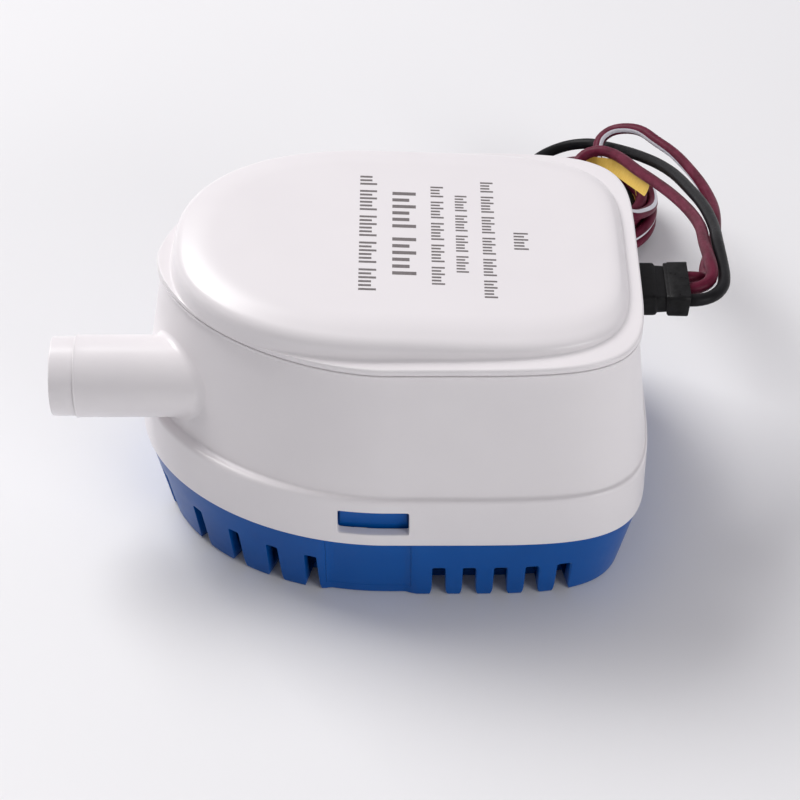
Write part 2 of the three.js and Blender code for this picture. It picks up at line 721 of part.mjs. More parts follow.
const INNER_LEADS = {
  motor_lead_positive: [[2, 5, 75], [9, 7, 75], [24, 10, 70], [44, 9, 63.5], [58, 6.5, EXIT_Z], [66.3, 5.6, EXIT_Z]],
  motor_lead_negative: [[2, -5, 75], [9, -7, 75], [24, -10, 70], [44, -9, 63.5], [58, -5, EXIT_Z], [66.3, -3.6, EXIT_Z]],
  switch_lead: [[47, 3, 50.4], [50, 3, 53], [55, 2, 58.5], [60, 1.2, EXIT_Z], [66.3, 1, EXIT_Z]],
};
for (const [name, points] of Object.entries(INNER_LEADS)) {
  add(name, tube(points, 1.1, 22, 6), name.endsWith("negative") ? BLACK_PVC() : RED_PVC());
}

// A flat rounded block across the exit, from x to x, "wide" by "tall".
function flatPlug(from, to, wide, tall) {
  const round = tall / 2;
  const shape = new THREE.Shape();
  shape.absarc(wide / 2 - round, 0, round, -Math.PI / 2, Math.PI / 2, false);
  shape.absarc(-wide / 2 + round, 0, round, Math.PI / 2, (3 * Math.PI) / 2, false);
  shape.closePath();
  const geometry = new THREE.ExtrudeGeometry(shape, { depth: to - from, bevelEnabled: false, curveSegments: 4 });
  geometry.rotateX(Math.PI / 2).rotateZ(Math.PI / 2);
  return solid(geometry.translate(from, EXIT_Y, EXIT_Z));
}

add("cable_gland", joined(flatPlug(66.9, 69, 19, 7.6), flatPlug(68.6, 72.2, 16, 6.6)), BLACK_RUBBER());
add("cable_boot", joined(flatPlug(72.5, 76.8, 14.8, 6.2), flatPlug(76.6, BOOT_END, 13.6, 5)), BLACK_RUBBER());
add("boot_tape", cut(flatPlug(79.3, BOOT_END, 15.4, 6.6), flatPlug(70, 90, 14.2, 5.6)), BLACK_PVC());

// ---------------------------------------------------------------- free leads

// Each lead curves back from the boot and down onto the coil behind the pump.
const LEADS = {
  lead_black: [
    [BOOT_END + 2 * GAP, EXIT_Y - LEAD_PITCH, EXIT_Z],
    [87.2, -3.5, 61.5],
    [89.4, -2.9, 61.5],
    [91.5, -1.5, 61.4],
    [93.2, 0.6, 61.2],
    [94.4, 3.3, 60.9],
    [95, 6.6, 60.4],
    [95.3, 11, 59.6],
    [95.4, 24.8, 57.4],
    [95.8, 36.4, 53.9],
    [95, 51.2, 49.3],
    [92.7, 66.5, 43.9],
    [90, 80.6, 38.6],
    [86.5, 92.4, 33.6],
    [81.9, 103.5, 28.4],
    [77.8, 111.2, 24.6],
    [73.8, 117, 21.7],
    [69.4, 121.6, 19.4],
  ],
  lead_red_upper: [
    [BOOT_END + 2 * GAP, EXIT_Y + LEAD_PITCH, EXIT_Z],
    [86.9, 5.9, 61.2],
    [88.4, 6.7, 60.4],
    [89.7, 8.1, 59],
    [90.6, 10, 57.3],
    [91.2, 12.5, 55.5],
    [91.6, 15.6, 53.7],
    [92, 19.5, 51.9],
    [92.9, 25, 49.6],
    [94.6, 32, 47.2],
    [97, 40, 44.6],
    [99, 55.1, 42.4],
    [99.2, 64.6, 40.2],
    [97.7, 76.3, 37.8],
    [95.1, 87.2, 35.6],
    [91.8, 97.1, 33.7],
    [87.7, 105.1, 32.1],
    [83.4, 112.2, 30.9],
    [79.2, 115.4, 29.4],
    [75.2, 116, 28],
    [72, 113.8, 26.6],
    [70.9, 110, 25.2],
    [70.4, 105, 24],
    [70.6, 99.2, 22.7],
    [71.3, 94.5, 21.5],
    [73.2, 90.6, 20.3],
    [76.8, 88.6, 19],
  ],
  lead_red_lower: [
    [BOOT_END + 2 * GAP, EXIT_Y, EXIT_Z],
    [87.3, 1.2, 61.6],
    [89.3, 2, 61.8],
    [90.8, 3.6, 61.9],
    [91.6, 5.9, 62],
    [91.9, 8.6, 61.9],
    [91.9, 12, 61.3],
    [92, 25.5, 57],
    [92.4, 37.8, 52.8],
    [90.9, 51.5, 47.9],
    [87.5, 65.7, 42.9],
    [84.3, 75.2, 39.6],
    [80.1, 85.6, 36.2],
    [77, 94, 33.6],
    [74.2, 99.9, 31.5],
    [70.8, 103.5, 29.9],
    [66.9, 103.8, 28.4],
    [64.1, 101.1, 26.7],
    [63.5, 97, 24.7],
    [64.1, 93.2, 22.2],
    [65.8, 90.4, 19.5],
  ],
};
for (const [name, points] of Object.entries(LEADS)) {
  add(name, tube(points, LEAD_RADIUS, 22), name === "lead_black" ? BLACK_PVC() : RED_PVC());
}

add("lead_coil", ring(COIL.x, COIL.y, 0, COIL.height, COIL.inner, COIL.outer, 32), RED_PVC());
// A folded paper flag that hangs from the lower red lead.
function leadTag() {
  const [x0, y0, x1, y1] = [74.2, 99.6, 83.6, 77.4];
  const along = Math.hypot(x1 - x0, y1 - y0);
  const flag = new THREE.Shape();
  flag.moveTo(0, 28.6);
  flag.lineTo(along, 35.6);
  flag.lineTo(along, 31.8);
  flag.lineTo(0, 28);
  const geometry = new THREE.ExtrudeGeometry(flag, { depth: 0.5, bevelEnabled: false });
  geometry.rotateX(Math.PI / 2).rotateZ(Math.atan2(y1 - y0, x1 - x0));
  return solid(geometry.translate(x0, y0, 0));
}
add("lead_tag", leadTag(), material(0xe6be50, 0.6));

export default part;
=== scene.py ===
"""An automatic bilge pump: blue strainer base, white housing and cover, rubber boot and three coiled leads.

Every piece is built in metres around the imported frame. Outlines and profiles are written in millimetres and
scaled once, when a mesh is made.
"""
import math

import bmesh
import bpy
import numpy as np
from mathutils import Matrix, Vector

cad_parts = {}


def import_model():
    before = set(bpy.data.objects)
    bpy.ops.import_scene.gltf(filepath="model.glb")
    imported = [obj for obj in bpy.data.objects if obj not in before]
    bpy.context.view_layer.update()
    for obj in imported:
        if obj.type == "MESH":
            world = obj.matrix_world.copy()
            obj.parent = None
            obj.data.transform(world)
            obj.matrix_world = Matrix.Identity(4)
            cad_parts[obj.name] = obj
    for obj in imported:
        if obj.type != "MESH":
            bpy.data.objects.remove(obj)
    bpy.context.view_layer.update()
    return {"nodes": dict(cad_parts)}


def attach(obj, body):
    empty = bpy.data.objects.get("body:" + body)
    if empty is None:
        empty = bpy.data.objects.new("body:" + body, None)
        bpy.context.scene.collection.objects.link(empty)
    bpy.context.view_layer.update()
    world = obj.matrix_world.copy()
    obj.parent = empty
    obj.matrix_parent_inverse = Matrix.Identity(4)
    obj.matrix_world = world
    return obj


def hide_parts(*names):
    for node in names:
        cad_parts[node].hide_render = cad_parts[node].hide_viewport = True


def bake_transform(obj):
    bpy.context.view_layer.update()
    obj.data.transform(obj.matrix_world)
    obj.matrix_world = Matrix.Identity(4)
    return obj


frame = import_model()
MM = 0.001
TURN = 2 * math.pi

# ------------ camera

CAMERA_AT = (0.01221, -0.4679, 0.4458)
CAMERA_PITCH = math.radians(48)
CAMERA_LENS = 107.6


def make_camera():
    data = bpy.data.cameras.new("camera")
    data.lens = CAMERA_LENS
    data.sensor_width = 36
    data.clip_start = 0.01
    data.clip_end = 20
    camera = bpy.data.objects.new("camera", data)
    camera.location = CAMERA_AT
    camera.rotation_euler = (CAMERA_PITCH, 0, 0)
    show(camera)
    bpy.context.scene.camera = camera
    bpy.context.scene.view_settings.view_transform = "Standard"


# ------------ mesh helpers


def show(item):
    """Puts an object in the scene."""
    bpy.context.scene.collection.objects.link(item)


def new_piece(name, points, faces, material, body=None, sharp=35):
    """A mesh object from points in millimetres. Edges that turn more than "sharp" degrees stay crisp."""
    mesh = bpy.data.meshes.new(name)
    mesh.from_pydata((np.asarray(points, float) * MM).tolist(), [], faces)
    mesh.update()
    piece = bpy.data.objects.new(name, mesh)
    show(piece)
    tidy(piece)
    smooth(piece, sharp)
    if material:
        mesh.materials.append(material)
    if body:
        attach(piece, body)
    return piece


def tidy(piece):
    """Joins doubled points and turns every face outwards."""
    work = bmesh.new()
    work.from_mesh(piece.data)
    bmesh.ops.remove_doubles(work, verts=work.verts, dist=1e-7)
    bmesh.ops.dissolve_degenerate(work, edges=work.edges, dist=1e-7)
    bmesh.ops.recalc_face_normals(work, faces=work.faces)
    work.to_mesh(piece.data)
    work.free()


def smooth(piece, sharp):
    piece.data.shade_smooth()
    piece.data.set_sharp_from_angle(angle=math.radians(sharp))


def boolean(target, tools, operation="DIFFERENCE"):
    """Cuts or joins the tools, which must not touch each other, with the target, and removes them."""
    for k, tool in enumerate(tools):
        modifier = target.modifiers.new(f"step_{k}", "BOOLEAN")
        modifier.object = tool
        modifier.operation = operation
        modifier.solver = "MANIFOLD"
    graph = bpy.context.evaluated_depsgraph_get()
    result = bpy.data.meshes.new_from_object(target.evaluated_get(graph))
    target.modifiers.clear()
    target.data = result
    for tool in tools:
        bpy.data.objects.remove(tool)


def one_material(piece, material):
    """Gives every face of a piece the same material, those left by its cutters too."""
    piece.data.materials.clear()
    piece.data.materials.append(material)
    piece.data.polygons.foreach_set("material_index", [0] * len(piece.data.polygons))


def even_normals(piece):
    """Lets large faces set the shading, so that cut edges leave no smudges on the smooth walls."""
    modifier = piece.modifiers.new("even_normals", "WEIGHTED_NORMAL")
    modifier.keep_sharp = True
    modifier.weight = 100


def soften(rows, radii, steps=6):
    """Rounds the corners of a list of rows. Each row is an array; a radius of 0 keeps its corner."""
    out = []
    count = len(rows)
    for k, (row, radius) in enumerate(zip(rows, radii)):
        if radius <= 0 or k in (0, count - 1):
            out.append(row)
            continue
        back = rows[k - 1] - row
        ahead = rows[k + 1] - row
        start = row + back * min(0.48, radius / span(back))
        end = row + ahead * min(0.48, radius / span(ahead))
        for t in np.linspace(0, 1, steps + 1):
            out.append((1 - t) ** 2 * start + 2 * t * (1 - t) * row + t * t * end)
    return out


def span(step):
    """The length of a step between two rows: of a profile row in half-width and height, or of a point."""
    if len(step) > 3:
        return max(float(np.hypot(step[HALF], step[HEIGHT])), 1e-6)
    return max(float(np.linalg.norm(step)), 1e-6)


make_camera()

# ------------ casing outlines and lofts

LEFT, RIGHT, HALF, WIDEST, LEFT_POWER, RIGHT_POWER, HEIGHT, TILT = range(8)
AROUND = 360
LID_FALL = 0.042


def body_outline(left, right, half, nose_power=1.72):
    return np.array([left, right, half, 9, nose_power, 5.4], float)


def lid_outline(left, right, half):
    return np.array([left, right, half, 7.7, 2.27, 4.4], float)


FOOT = body_outline(-50, 70.2, 47.2, 2.0)
SKIRT_LOW = body_outline(-55.2, 75, 51.3, 1.93)
SKIRT_HIGH = body_outline(-54.8, 74.9, 50.8, 1.93)
WALL_LOW = body_outline(-53.2, 74.2, 49.4, 1.83)
WALL_HIGH = body_outline(-47.6, 70.8, 42.7)
RIM = body_outline(-48.6, 71.8, 43.7)
PLATEAU = lid_outline(-44.6, 68.6, 40)
TOP_FACE = lid_outline(-36.5, 65.8, 32.8)

BASE_TOP = 21.5
SKIRT_BOTTOM = 21.9
SKIRT_TOP = 36.4
RIM_BOTTOM = 70
RIM_PART = 71
RIM_TOP = 73
LID_TOP = 79.8
WALL = 2.4
GAP = 0.3


def between(low, high, share):
    return low + (high - low) * share


def wall_at(z):
    return between(WALL_LOW, WALL_HIGH, (z - SKIRT_TOP) / (RIM_BOTTOM - SKIRT_TOP))


def skirt_at(z):
    return between(SKIRT_LOW, SKIRT_HIGH, (z - SKIRT_BOTTOM) / (SKIRT_TOP - SKIRT_BOTTOM))


def row(outline, height, inset=0.0, tilt=0.0):
    """One profile row: an outline pulled in all round, at a height, with the share of the lid's fall."""
    return np.concatenate([outline + [inset, -inset, -inset, 0, 0, 0], [height, tilt]])


def ring_points(values, angles):
    """Points of one profile row, in millimetres."""
    across = np.cos(angles)
    up = np.sin(angles)
    left = across < 0
    power = np.where(left, values[LEFT_POWER], values[RIGHT_POWER])
    reach = np.where(left, values[LEFT], values[RIGHT]) - values[WIDEST]
    x = values[WIDEST] + reach * np.abs(across) ** (2 / power)
    y = np.sign(up) * values[HALF] * np.abs(up) ** (2 / power)
    z = values[HEIGHT] - LID_FALL * x * values[TILT]
    return np.column_stack([x, y, z])


def even_angles(values, count):
    """Angles that share out an outline's length and its turning evenly."""
    fine = np.linspace(0, TURN, 7201)
    points = ring_points(values, fine)[:, :2]
    steps = np.diff(points, axis=0)
    length = np.hypot(steps[:, 0], steps[:, 1])
    heading = np.unwrap(np.arctan2(steps[:, 1], steps[:, 0]))
    bend = np.abs(np.diff(heading, append=heading[0] + TURN))
    measure = np.concatenate([[0], np.cumsum(length + 25 * np.minimum(bend, 0.2))])
    wanted = np.linspace(0, measure[-1], count, endpoint=False)
    return np.interp(wanted, measure, fine)


ANGLES = even_angles(row(SKIRT_LOW, 0), AROUND)


def divided(rows, step):
    """Adds rows so that none is further than "step" in height from the next."""
    out = [rows[0]]
    for before, after in zip(rows, rows[1:]):
        parts = max(1, int(abs(after[HEIGHT] - before[HEIGHT]) / step))
        for k in range(1, parts + 1):
            out.append(between(before, after, k / parts))
    return out


def ring_faces(rings, count, closed=False):
    """Quads from each ring of points to the next, and from the last to the first where closed."""
    faces = []
    for k in range(rings if closed else rings - 1):
        low = k * count
        high = ((k + 1) % rings) * count
        for i in range(count):
            j = (i + 1) % count
            faces.append((low + i, low + j, high + j, high + i))
    return faces


def loft(name, rows, material=None, body=None, closed=False, shape=None, sharp=35):
    """A skin through profile rows. A closed one joins its last row to its first; another is capped."""
    rings = [ring_points(values, ANGLES) for values in rows]
    points = np.vstack(rings)
    if shape:
        points = shape(points)
    points = points.tolist()
    faces = ring_faces(len(rows), AROUND, closed)
    if not closed:
        for start in (0, (len(rows) - 1) * AROUND):
            middle = np.mean(points[start:start + AROUND], axis=0)
            points.append(middle.tolist())
            for i in range(AROUND):
                faces.append((start + i, start + (i + 1) % AROUND, len(points) - 1))
    return new_piece(name, points, faces, material, body, sharp)


def prism(name, sections, material=None, body=None, sharp=35):
    """A solid through closed sections, each a list of points in millimetres, capped at both ends."""
    count = len(sections[0])
    points = [list(point) for section in sections for point in section]
    faces = ring_faces(len(sections), count)
    faces.append(tuple(range(count)))
    faces.append(tuple(range((len(sections) - 1) * count, len(sections) * count)))
    return new_piece(name, points, faces, material, body, sharp)


def rounded(corners, radii, steps=6):
    """A closed flat outline with rounded corners, as an array of points."""
    flat = [np.array(corner, float) for corner in corners]
    looped = [flat[-1]] + flat + [flat[0]]
    soft = soften(looped, [0, *radii, 0], steps)
    return np.array(soft[1:-1])


def unit(steps):
    """Each row of an array, made one long."""
    return steps / np.linalg.norm(steps, axis=1)[:, None]


def grown(outline, by):
    """A flat outline pushed out along its own normals; points run anticlockwise."""
    ahead = unit(np.roll(outline, -1, axis=0) - outline)
    behind = unit(outline - np.roll(outline, 1, axis=0))
    direction = unit(ahead + behind)
    return outline + by * np.column_stack([direction[:, 1], -direction[:, 0]])


# How far a cutting tool's outline flares as it comes out of the wall: (depth outside the wall, growth).
EDGE_FLARE = [(-0.45, 0.0), (-0.3, 0.03), (-0.16, 0.11), (-0.05, 0.24), (0.02, 0.42), (0.4, 0.9)]

# ------------ materials


def new_material(name, base, roughness, **inputs):
    """A node material. Returns it with its node tree and its Principled shader."""
    material = bpy.data.materials.new(name)
    material.use_nodes = True
    tree = material.node_tree
    shader = tree.nodes["Principled BSDF"]
    shader.inputs["Base Color"].default_value = (*base, 1)
    shader.inputs["Roughness"].default_value = roughness
    for key, value in inputs.items():
        shader.inputs[key.replace("_", " ")].default_value = value
    return material, tree, shader


def coordinates(tree, scale=(1, 1, 1)):
    """Object coordinates in metres, stretched by a scale."""
    source = tree.nodes.new("ShaderNodeTexCoord")
    mapping = tree.nodes.new("ShaderNodeMapping")
    mapping.inputs["Scale"].default_value = scale
    tree.links.new(source.outputs["Object"], mapping.inputs["Vector"])
    return mapping.outputs["Vector"]


def noise(tree, vector, scale, detail=3.0, roughness=0.5):
    node = tree.nodes.new("ShaderNodeTexNoise")
    node.inputs["Scale"].default_value = scale
    node.inputs["Detail"].default_value = detail
    node.inputs["Roughness"].default_value = roughness
    tree.links.new(vector, node.inputs["Vector"])
    return node.outputs["Fac"]


def ramp(tree, factor, stops):
    """A colour ramp; each stop is (place, (r, g, b)) or (place, grey)."""
    node = tree.nodes.new("ShaderNodeValToRGB")
    elements = node.color_ramp.elements
    while len(elements) < len(stops):
        elements.new(0.5)
    for element, (place, colour) in zip(elements, stops):
        element.position = place
        element.color = (*colour, 1) if isinstance(colour, tuple) else (colour, colour, colour, 1)
    tree.links.new(factor, node.inputs["Fac"])
    return node.outputs["Color"]


def drive(tree, shader, key, factor, stops):
    """Sets a shader's input from a ramp over a factor."""
    tree.links.new(ramp(tree, factor, stops), shader.inputs[key])


def mixed(tree, factor, first, second):
    """Two colours mixed by a factor, each a socket or a constant."""
    node = tree.nodes.new("ShaderNodeMix")
    node.data_type = "RGBA"
    for socket, value in ((node.inputs[0], factor), (node.inputs[6], first), (node.inputs[7], second)):
        if isinstance(value, bpy.types.NodeSocket):
            tree.links.new(value, socket)
        elif isinstance(value, tuple):
            socket.default_value = (*value, 1)
        else:
            socket.default_value = value
    return node.outputs[2]


def bump(tree, shader, height, strength, distance):
    """Adds a bump from a height, on top of any that the shader already has."""
    node = tree.nodes.new("ShaderNodeBump")
    node.inputs["Strength"].default_value = strength
    node.inputs["Distance"].default_value = distance
    tree.links.new(height, node.inputs["Height"])
    for link in shader.inputs["Normal"].links:
        tree.links.new(link.from_socket, node.inputs["Normal"])
    tree.links.new(node.outputs["Normal"], shader.inputs["Normal"])


def moulded_plastic(name, low, high, roughness, **inputs):
    """Injection-moulded plastic: two close colours in soft clouds, a fine skin and uneven gloss."""
    material, tree, shader = new_material(name, low, roughness[0], **inputs)
    place = coordinates(tree)
    clouds = noise(tree, place, 45, 2)
    drive(tree, shader, "Base Color", clouds, [(0.35, low), (0.65, high)])
    gloss = noise(tree, place, 160, 5, 0.6)
    drive(tree, shader, "Roughness", gloss, [(0.3, roughness[0]), (0.7, roughness[1])])
    bump(tree, shader, noise(tree, place, 2600, 2), 0.06, 0.00006)
    bump(tree, shader, noise(tree, place, 60, 1), 0.05, 0.0001)
    return material


def rubber(name, colour, roughness):
    """Dull black rubber or tape, mottled and finely grained."""
    lighter = tuple(min(1, 2.1 * value + 0.006) for value in colour)
    material, tree, shader = new_material(name, colour, roughness, Specular_IOR_Level=0.14)
    place = coordinates(tree)
    mottle = noise(tree, place, 420, 5, 0.65)
    drive(tree, shader, "Base Color", mottle, [(0.35, colour), (0.75, lighter)])
    drive(tree, shader, "Roughness", mottle, [(0.3, roughness - 0.12), (0.7, roughness + 0.14)])
    bump(tree, shader, noise(tree, place, 900, 6, 0.7), 0.35, 0.00015)
    return material


def metal(name, colour, roughness, streak=(1, 1, 1)):
    """Bare metal with fine streaks."""
    darker = tuple(0.72 * value for value in colour)
    material, tree, shader = new_material(name, colour, roughness, Metallic=1.0)
    place = coordinates(tree, streak)
    lines = noise(tree, place, 900, 4, 0.6)
    drive(tree, shader, "Base Color", lines, [(0.3, darker), (0.7, colour)])
    drive(tree, shader, "Roughness", lines, [(0.3, roughness + 0.12), (0.7, roughness)])
    bump(tree, shader, lines, 0.1, 0.00005)
    return material


def lead_insulation(name, dark, light, painted_sheen, stripe=None):
    """Soft PVC over a lead: blotched along its length, its lightest streaks a painted sheen, with an optional
    tracer stripe along one side.
    """
    material, tree, shader = new_material(name, dark, 0.42, Specular_IOR_Level=0.14)
    source = tree.nodes.new("ShaderNodeTexCoord")
    along = tree.nodes.new("ShaderNodeMapping")
    along.inputs["Scale"].default_value = (140, 3.0, 1)
    tree.links.new(source.outputs["UV"], along.inputs["Vector"])
    streaks = noise(tree, along.outputs["Vector"], 1.0, 6, 0.65)
    # the lightest stop is a painted highlight: sheen painted into the colour streaks
    colour = ramp(tree, streaks, [(0.28, dark), (0.5, light), (0.78, painted_sheen)])
    specks = noise(tree, coordinates(tree), 1500, 4, 0.7)
    colour = mixed(tree, ramp(tree, specks, [(0.62, 0.0), (0.8, 0.5)]), colour, dark)
    if stripe:
        split = tree.nodes.new("ShaderNodeSeparateXYZ")
        tree.links.new(source.outputs["UV"], split.inputs["Vector"])
        band = ramp(tree, split.outputs["Y"], [(0.0, 1.0), (0.12, 1.0), (0.135, 0.0), (1.0, 0.0)])
        colour = mixed(tree, band, colour, stripe)
    tree.links.new(colour, shader.inputs["Base Color"])
    drive(tree, shader, "Roughness", specks, [(0.3, 0.34), (0.75, 0.56)])
    bump(tree, shader, streaks, 0.3, 0.00012)
    bump(tree, shader, specks, 0.15, 0.00005)
    return material


def paper(name, low, high):
    """Thin yellow tag stock with faint fibres."""
    material, tree, shader = new_material(name, low, 0.62)
    fibres = noise(tree, coordinates(tree, (1, 5, 1)), 500, 5, 0.6)
    drive(tree, shader, "Base Color", fibres, [(0.35, low), (0.65, high)])
    bump(tree, shader, fibres, 0.2, 0.00005)
    return material


def foam(name, low, high):
    """Closed-cell float foam, pitted with small cells."""
    material, tree, shader = new_material(name, low, 0.8)
    cells = tree.nodes.new("ShaderNodeTexVoronoi")
    cells.inputs["Scale"].default_value = 900
    tree.links.new(coordinates(tree), cells.inputs["Vector"])
    distance = cells.outputs["Distance"]
    drive(tree, shader, "Base Color", distance, [(0.1, low), (0.6, high)])
    bump(tree, shader, distance, 0.4, 0.0002)
    return material


def circuit(name, low, high):
    """Green board with faint copper tracks under the lacquer."""
    material, tree, shader = new_material(name, low, 0.35)
    tracks = tree.nodes.new("ShaderNodeTexBrick")
    tracks.inputs["Scale"].default_value = 180
    tracks.inputs["Color1"].default_value = (*low, 1)
    tracks.inputs["Color2"].default_value = (*low, 1)
    tracks.inputs["Mortar"].default_value = (*high, 1)
    tree.links.new(coordinates(tree), tracks.inputs["Vector"])
    tree.links.new(tracks.outputs["Color"], shader.inputs["Base Color"])
    bump(tree, shader, tracks.outputs["Fac"], 0.2, 0.00005)
    return material


def printed_ink(name, dark, light):
    """Pad-printed ink, slightly uneven."""
    material, tree, shader = new_material(name, dark, 0.5)
    patches = noise(tree, coordinates(tree), 1400, 4, 0.7)
    drive(tree, shader, "Base Color", patches, [(0.3, dark), (0.75, light)])
    bump(tree, shader, patches, 0.1, 0.00003)
    return material


WHITE = moulded_plastic("white_plastic", (0.805, 0.775, 0.788), (0.82, 0.79, 0.802), (0.29, 0.32))
BLUE = moulded_plastic(
    "blue_plastic", (0.0005, 0.076, 0.325), (0.0006, 0.087, 0.36), (0.28, 0.36), Specular_IOR_Level=0.2,
)
BLACK_PLASTIC = moulded_plastic("black_plastic", (0.012, 0.012, 0.013), (0.02, 0.02, 0.022), (0.4, 0.55))
NYLON = moulded_plastic("white_nylon", (0.72, 0.72, 0.74), (0.8, 0.8, 0.82), (0.35, 0.5))
BOOT_RUBBER = rubber("boot_rubber", (0.004, 0.004, 0.0043), 0.45)
SEAL_RUBBER = rubber("seal_rubber", (0.012, 0.012, 0.012), 0.6)
TAPE = rubber("black_tape", (0.005, 0.005, 0.0053), 0.36)
STEEL = metal("stainless_steel", (0.62, 0.63, 0.65), 0.25, (1, 1, 6))
IRON = metal("dark_iron", (0.16, 0.16, 0.17), 0.42, (1, 1, 8))
BRASS = metal("brass", (0.62, 0.44, 0.17), 0.3)
COPPER = metal("copper", (0.72, 0.33, 0.17), 0.3, (6, 6, 1))
TINNED = metal("tinned_copper", (0.66, 0.6, 0.55), 0.35, (8, 8, 8))
RED_DARK = (0.055, 0.003, 0.012)
RED_LIGHT = (0.11, 0.009, 0.028)
# painted highlight: a sheen colour painted into the red leads' streaks
RED_PAINTED_SHEEN = (0.19, 0.03, 0.062)
RED_LEAD = lead_insulation("red_insulation", RED_DARK, RED_LIGHT, RED_PAINTED_SHEEN)
STRIPED_LEAD = lead_insulation("striped_insulation", RED_DARK, RED_LIGHT, RED_PAINTED_SHEEN, (0.72, 0.72, 0.78))
# the black lead's third colour is a painted sheen, a highlight painted into its streaks
BLACK_LEAD = lead_insulation(
    "black_insulation", (0.004, 0.004, 0.0045), (0.008, 0.008, 0.009), (0.016, 0.016, 0.018),
)
TAG_PAPER = paper("yellow_paper", (0.74, 0.47, 0.075), (0.80, 0.54, 0.11))
FLOAT_FOAM = foam("float_foam", (0.62, 0.2, 0.04), (0.74, 0.27, 0.06))
BOARD = circuit("circuit_board", (0.012, 0.085, 0.035), (0.03, 0.16, 0.07))
GLASS = moulded_plastic("reed_glass", (0.35, 0.55, 0.48), (0.42, 0.62, 0.55), (0.05, 0.12))
INK = printed_ink("grey_ink", (0.135, 0.12, 0.12), (0.2, 0.18, 0.18))

# ------------ leads and their coil

LEAD_RADIUS = 1.6
BARE_RADIUS = 0.62 * LEAD_RADIUS
LEAD_LENGTH = 0.5
COIL_X = 68.0
COIL_Y = 105.0
COIL_PITCH = 3.3
COIL_FLOOR = 2.3  # height of the lowest turn's centre, above the ties
CORE_COLUMN = 9.7
INNER_COLUMN = 13.2
MIDDLE_COLUMN = 16.5
OUTER_COLUMN = 19.8
TURN_POINTS = 24

# The free stretch of each lead, from the boot to the coil, in metres.
FREE_BLACK = [
    (0.0853, -0.0036, 0.0615), (0.0872, -0.0035, 0.0615), (0.0894, -0.0029, 0.0615),
    (0.0915, -0.0015, 0.0614), (0.0932, 0.0006, 0.0612), (0.0944, 0.0033, 0.0609),
    (0.0950, 0.0066, 0.0604), (0.0953, 0.0110, 0.0596), (0.0954, 0.0248, 0.0574),
    (0.0958, 0.0364, 0.0539), (0.0950, 0.0512, 0.0493), (0.0927, 0.0665, 0.0439),
    (0.0900, 0.0806, 0.0386), (0.0865, 0.0924, 0.0336), (0.0819, 0.1035, 0.0284),
    (0.0778, 0.1112, 0.0246), (0.0738, 0.1170, 0.0217), (0.0694, 0.1216, 0.0194),
]
FREE_RED_UPPER = [
    (0.0853, 0.0056, 0.0615), (0.0869, 0.0059, 0.0612), (0.0884, 0.0067, 0.0604),
    (0.0897, 0.0081, 0.0590), (0.0906, 0.0100, 0.0573), (0.0912, 0.0125, 0.0555),
    (0.0916, 0.0156, 0.0537), (0.0920, 0.0195, 0.0519), (0.0929, 0.0250, 0.0496),
    (0.0946, 0.0320, 0.0472), (0.0970, 0.0400, 0.0446), (0.0990, 0.0551, 0.0424),
    (0.0992, 0.0646, 0.0402), (0.0977, 0.0763, 0.0378), (0.0951, 0.0872, 0.0356),
    (0.0918, 0.0971, 0.0337), (0.0877, 0.1051, 0.0321), (0.0834, 0.1122, 0.0309),
    (0.0792, 0.1154, 0.0294), (0.0752, 0.1160, 0.0280), (0.0720, 0.1138, 0.0266),
    (0.0709, 0.1100, 0.0252), (0.0704, 0.1050, 0.0240), (0.0706, 0.0992, 0.0227),
    (0.0713, 0.0945, 0.0215), (0.0732, 0.0906, 0.0203), (0.0768, 0.0886, 0.0190),
]
FREE_RED_LOWER = [
    (0.0853, 0.0010, 0.0615), (0.0873, 0.0012, 0.0616), (0.0893, 0.0020, 0.0618),
    (0.0908, 0.0036, 0.0619), (0.0916, 0.0059, 0.0620), (0.0919, 0.0086, 0.0619),
    (0.0919, 0.0120, 0.0613), (0.0920, 0.0255, 0.0570), (0.0924, 0.0378, 0.0528),
    (0.0909, 0.0515, 0.0479), (0.0875, 0.0657, 0.0429), (0.0843, 0.0752, 0.0396),
    (0.0801, 0.0856, 0.0362), (0.0770, 0.0940, 0.0336), (0.0742, 0.0999, 0.0315),
    (0.0708, 0.1035, 0.0299), (0.0669, 0.1038, 0.0284), (0.0641, 0.1011, 0.0267),
    (0.0635, 0.0970, 0.0247), (0.0641, 0.0932, 0.0222), (0.0658, 0.0904, 0.0195),
]


def on_coil(radius, degrees, height):
    """A point by its radius and angle round the coil, in metres."""
    angle = math.radians(degrees)
    x = COIL_X + radius * math.cos(angle)
    y = COIL_Y + radius * math.sin(angle)
    return (x * MM, y * MM, height * MM)


def column(radius, degrees, turns, down=True):
    """Turns that go round anticlockwise, down to the floor or up from it, in metres."""
    points = []
    for k in range(int(turns * TURN_POINTS) + 1):
        share = k / TURN_POINTS
        level = turns - share if down else share
        points.append(on_coil(radius, degrees + 360 * share, COIL_FLOOR + COIL_PITCH * level))
    return points


def lengths_along(line):
    """How far along a line each of its points lies."""
    return np.concatenate([[0], np.cumsum(np.linalg.norm(np.diff(line, axis=0), axis=1))])


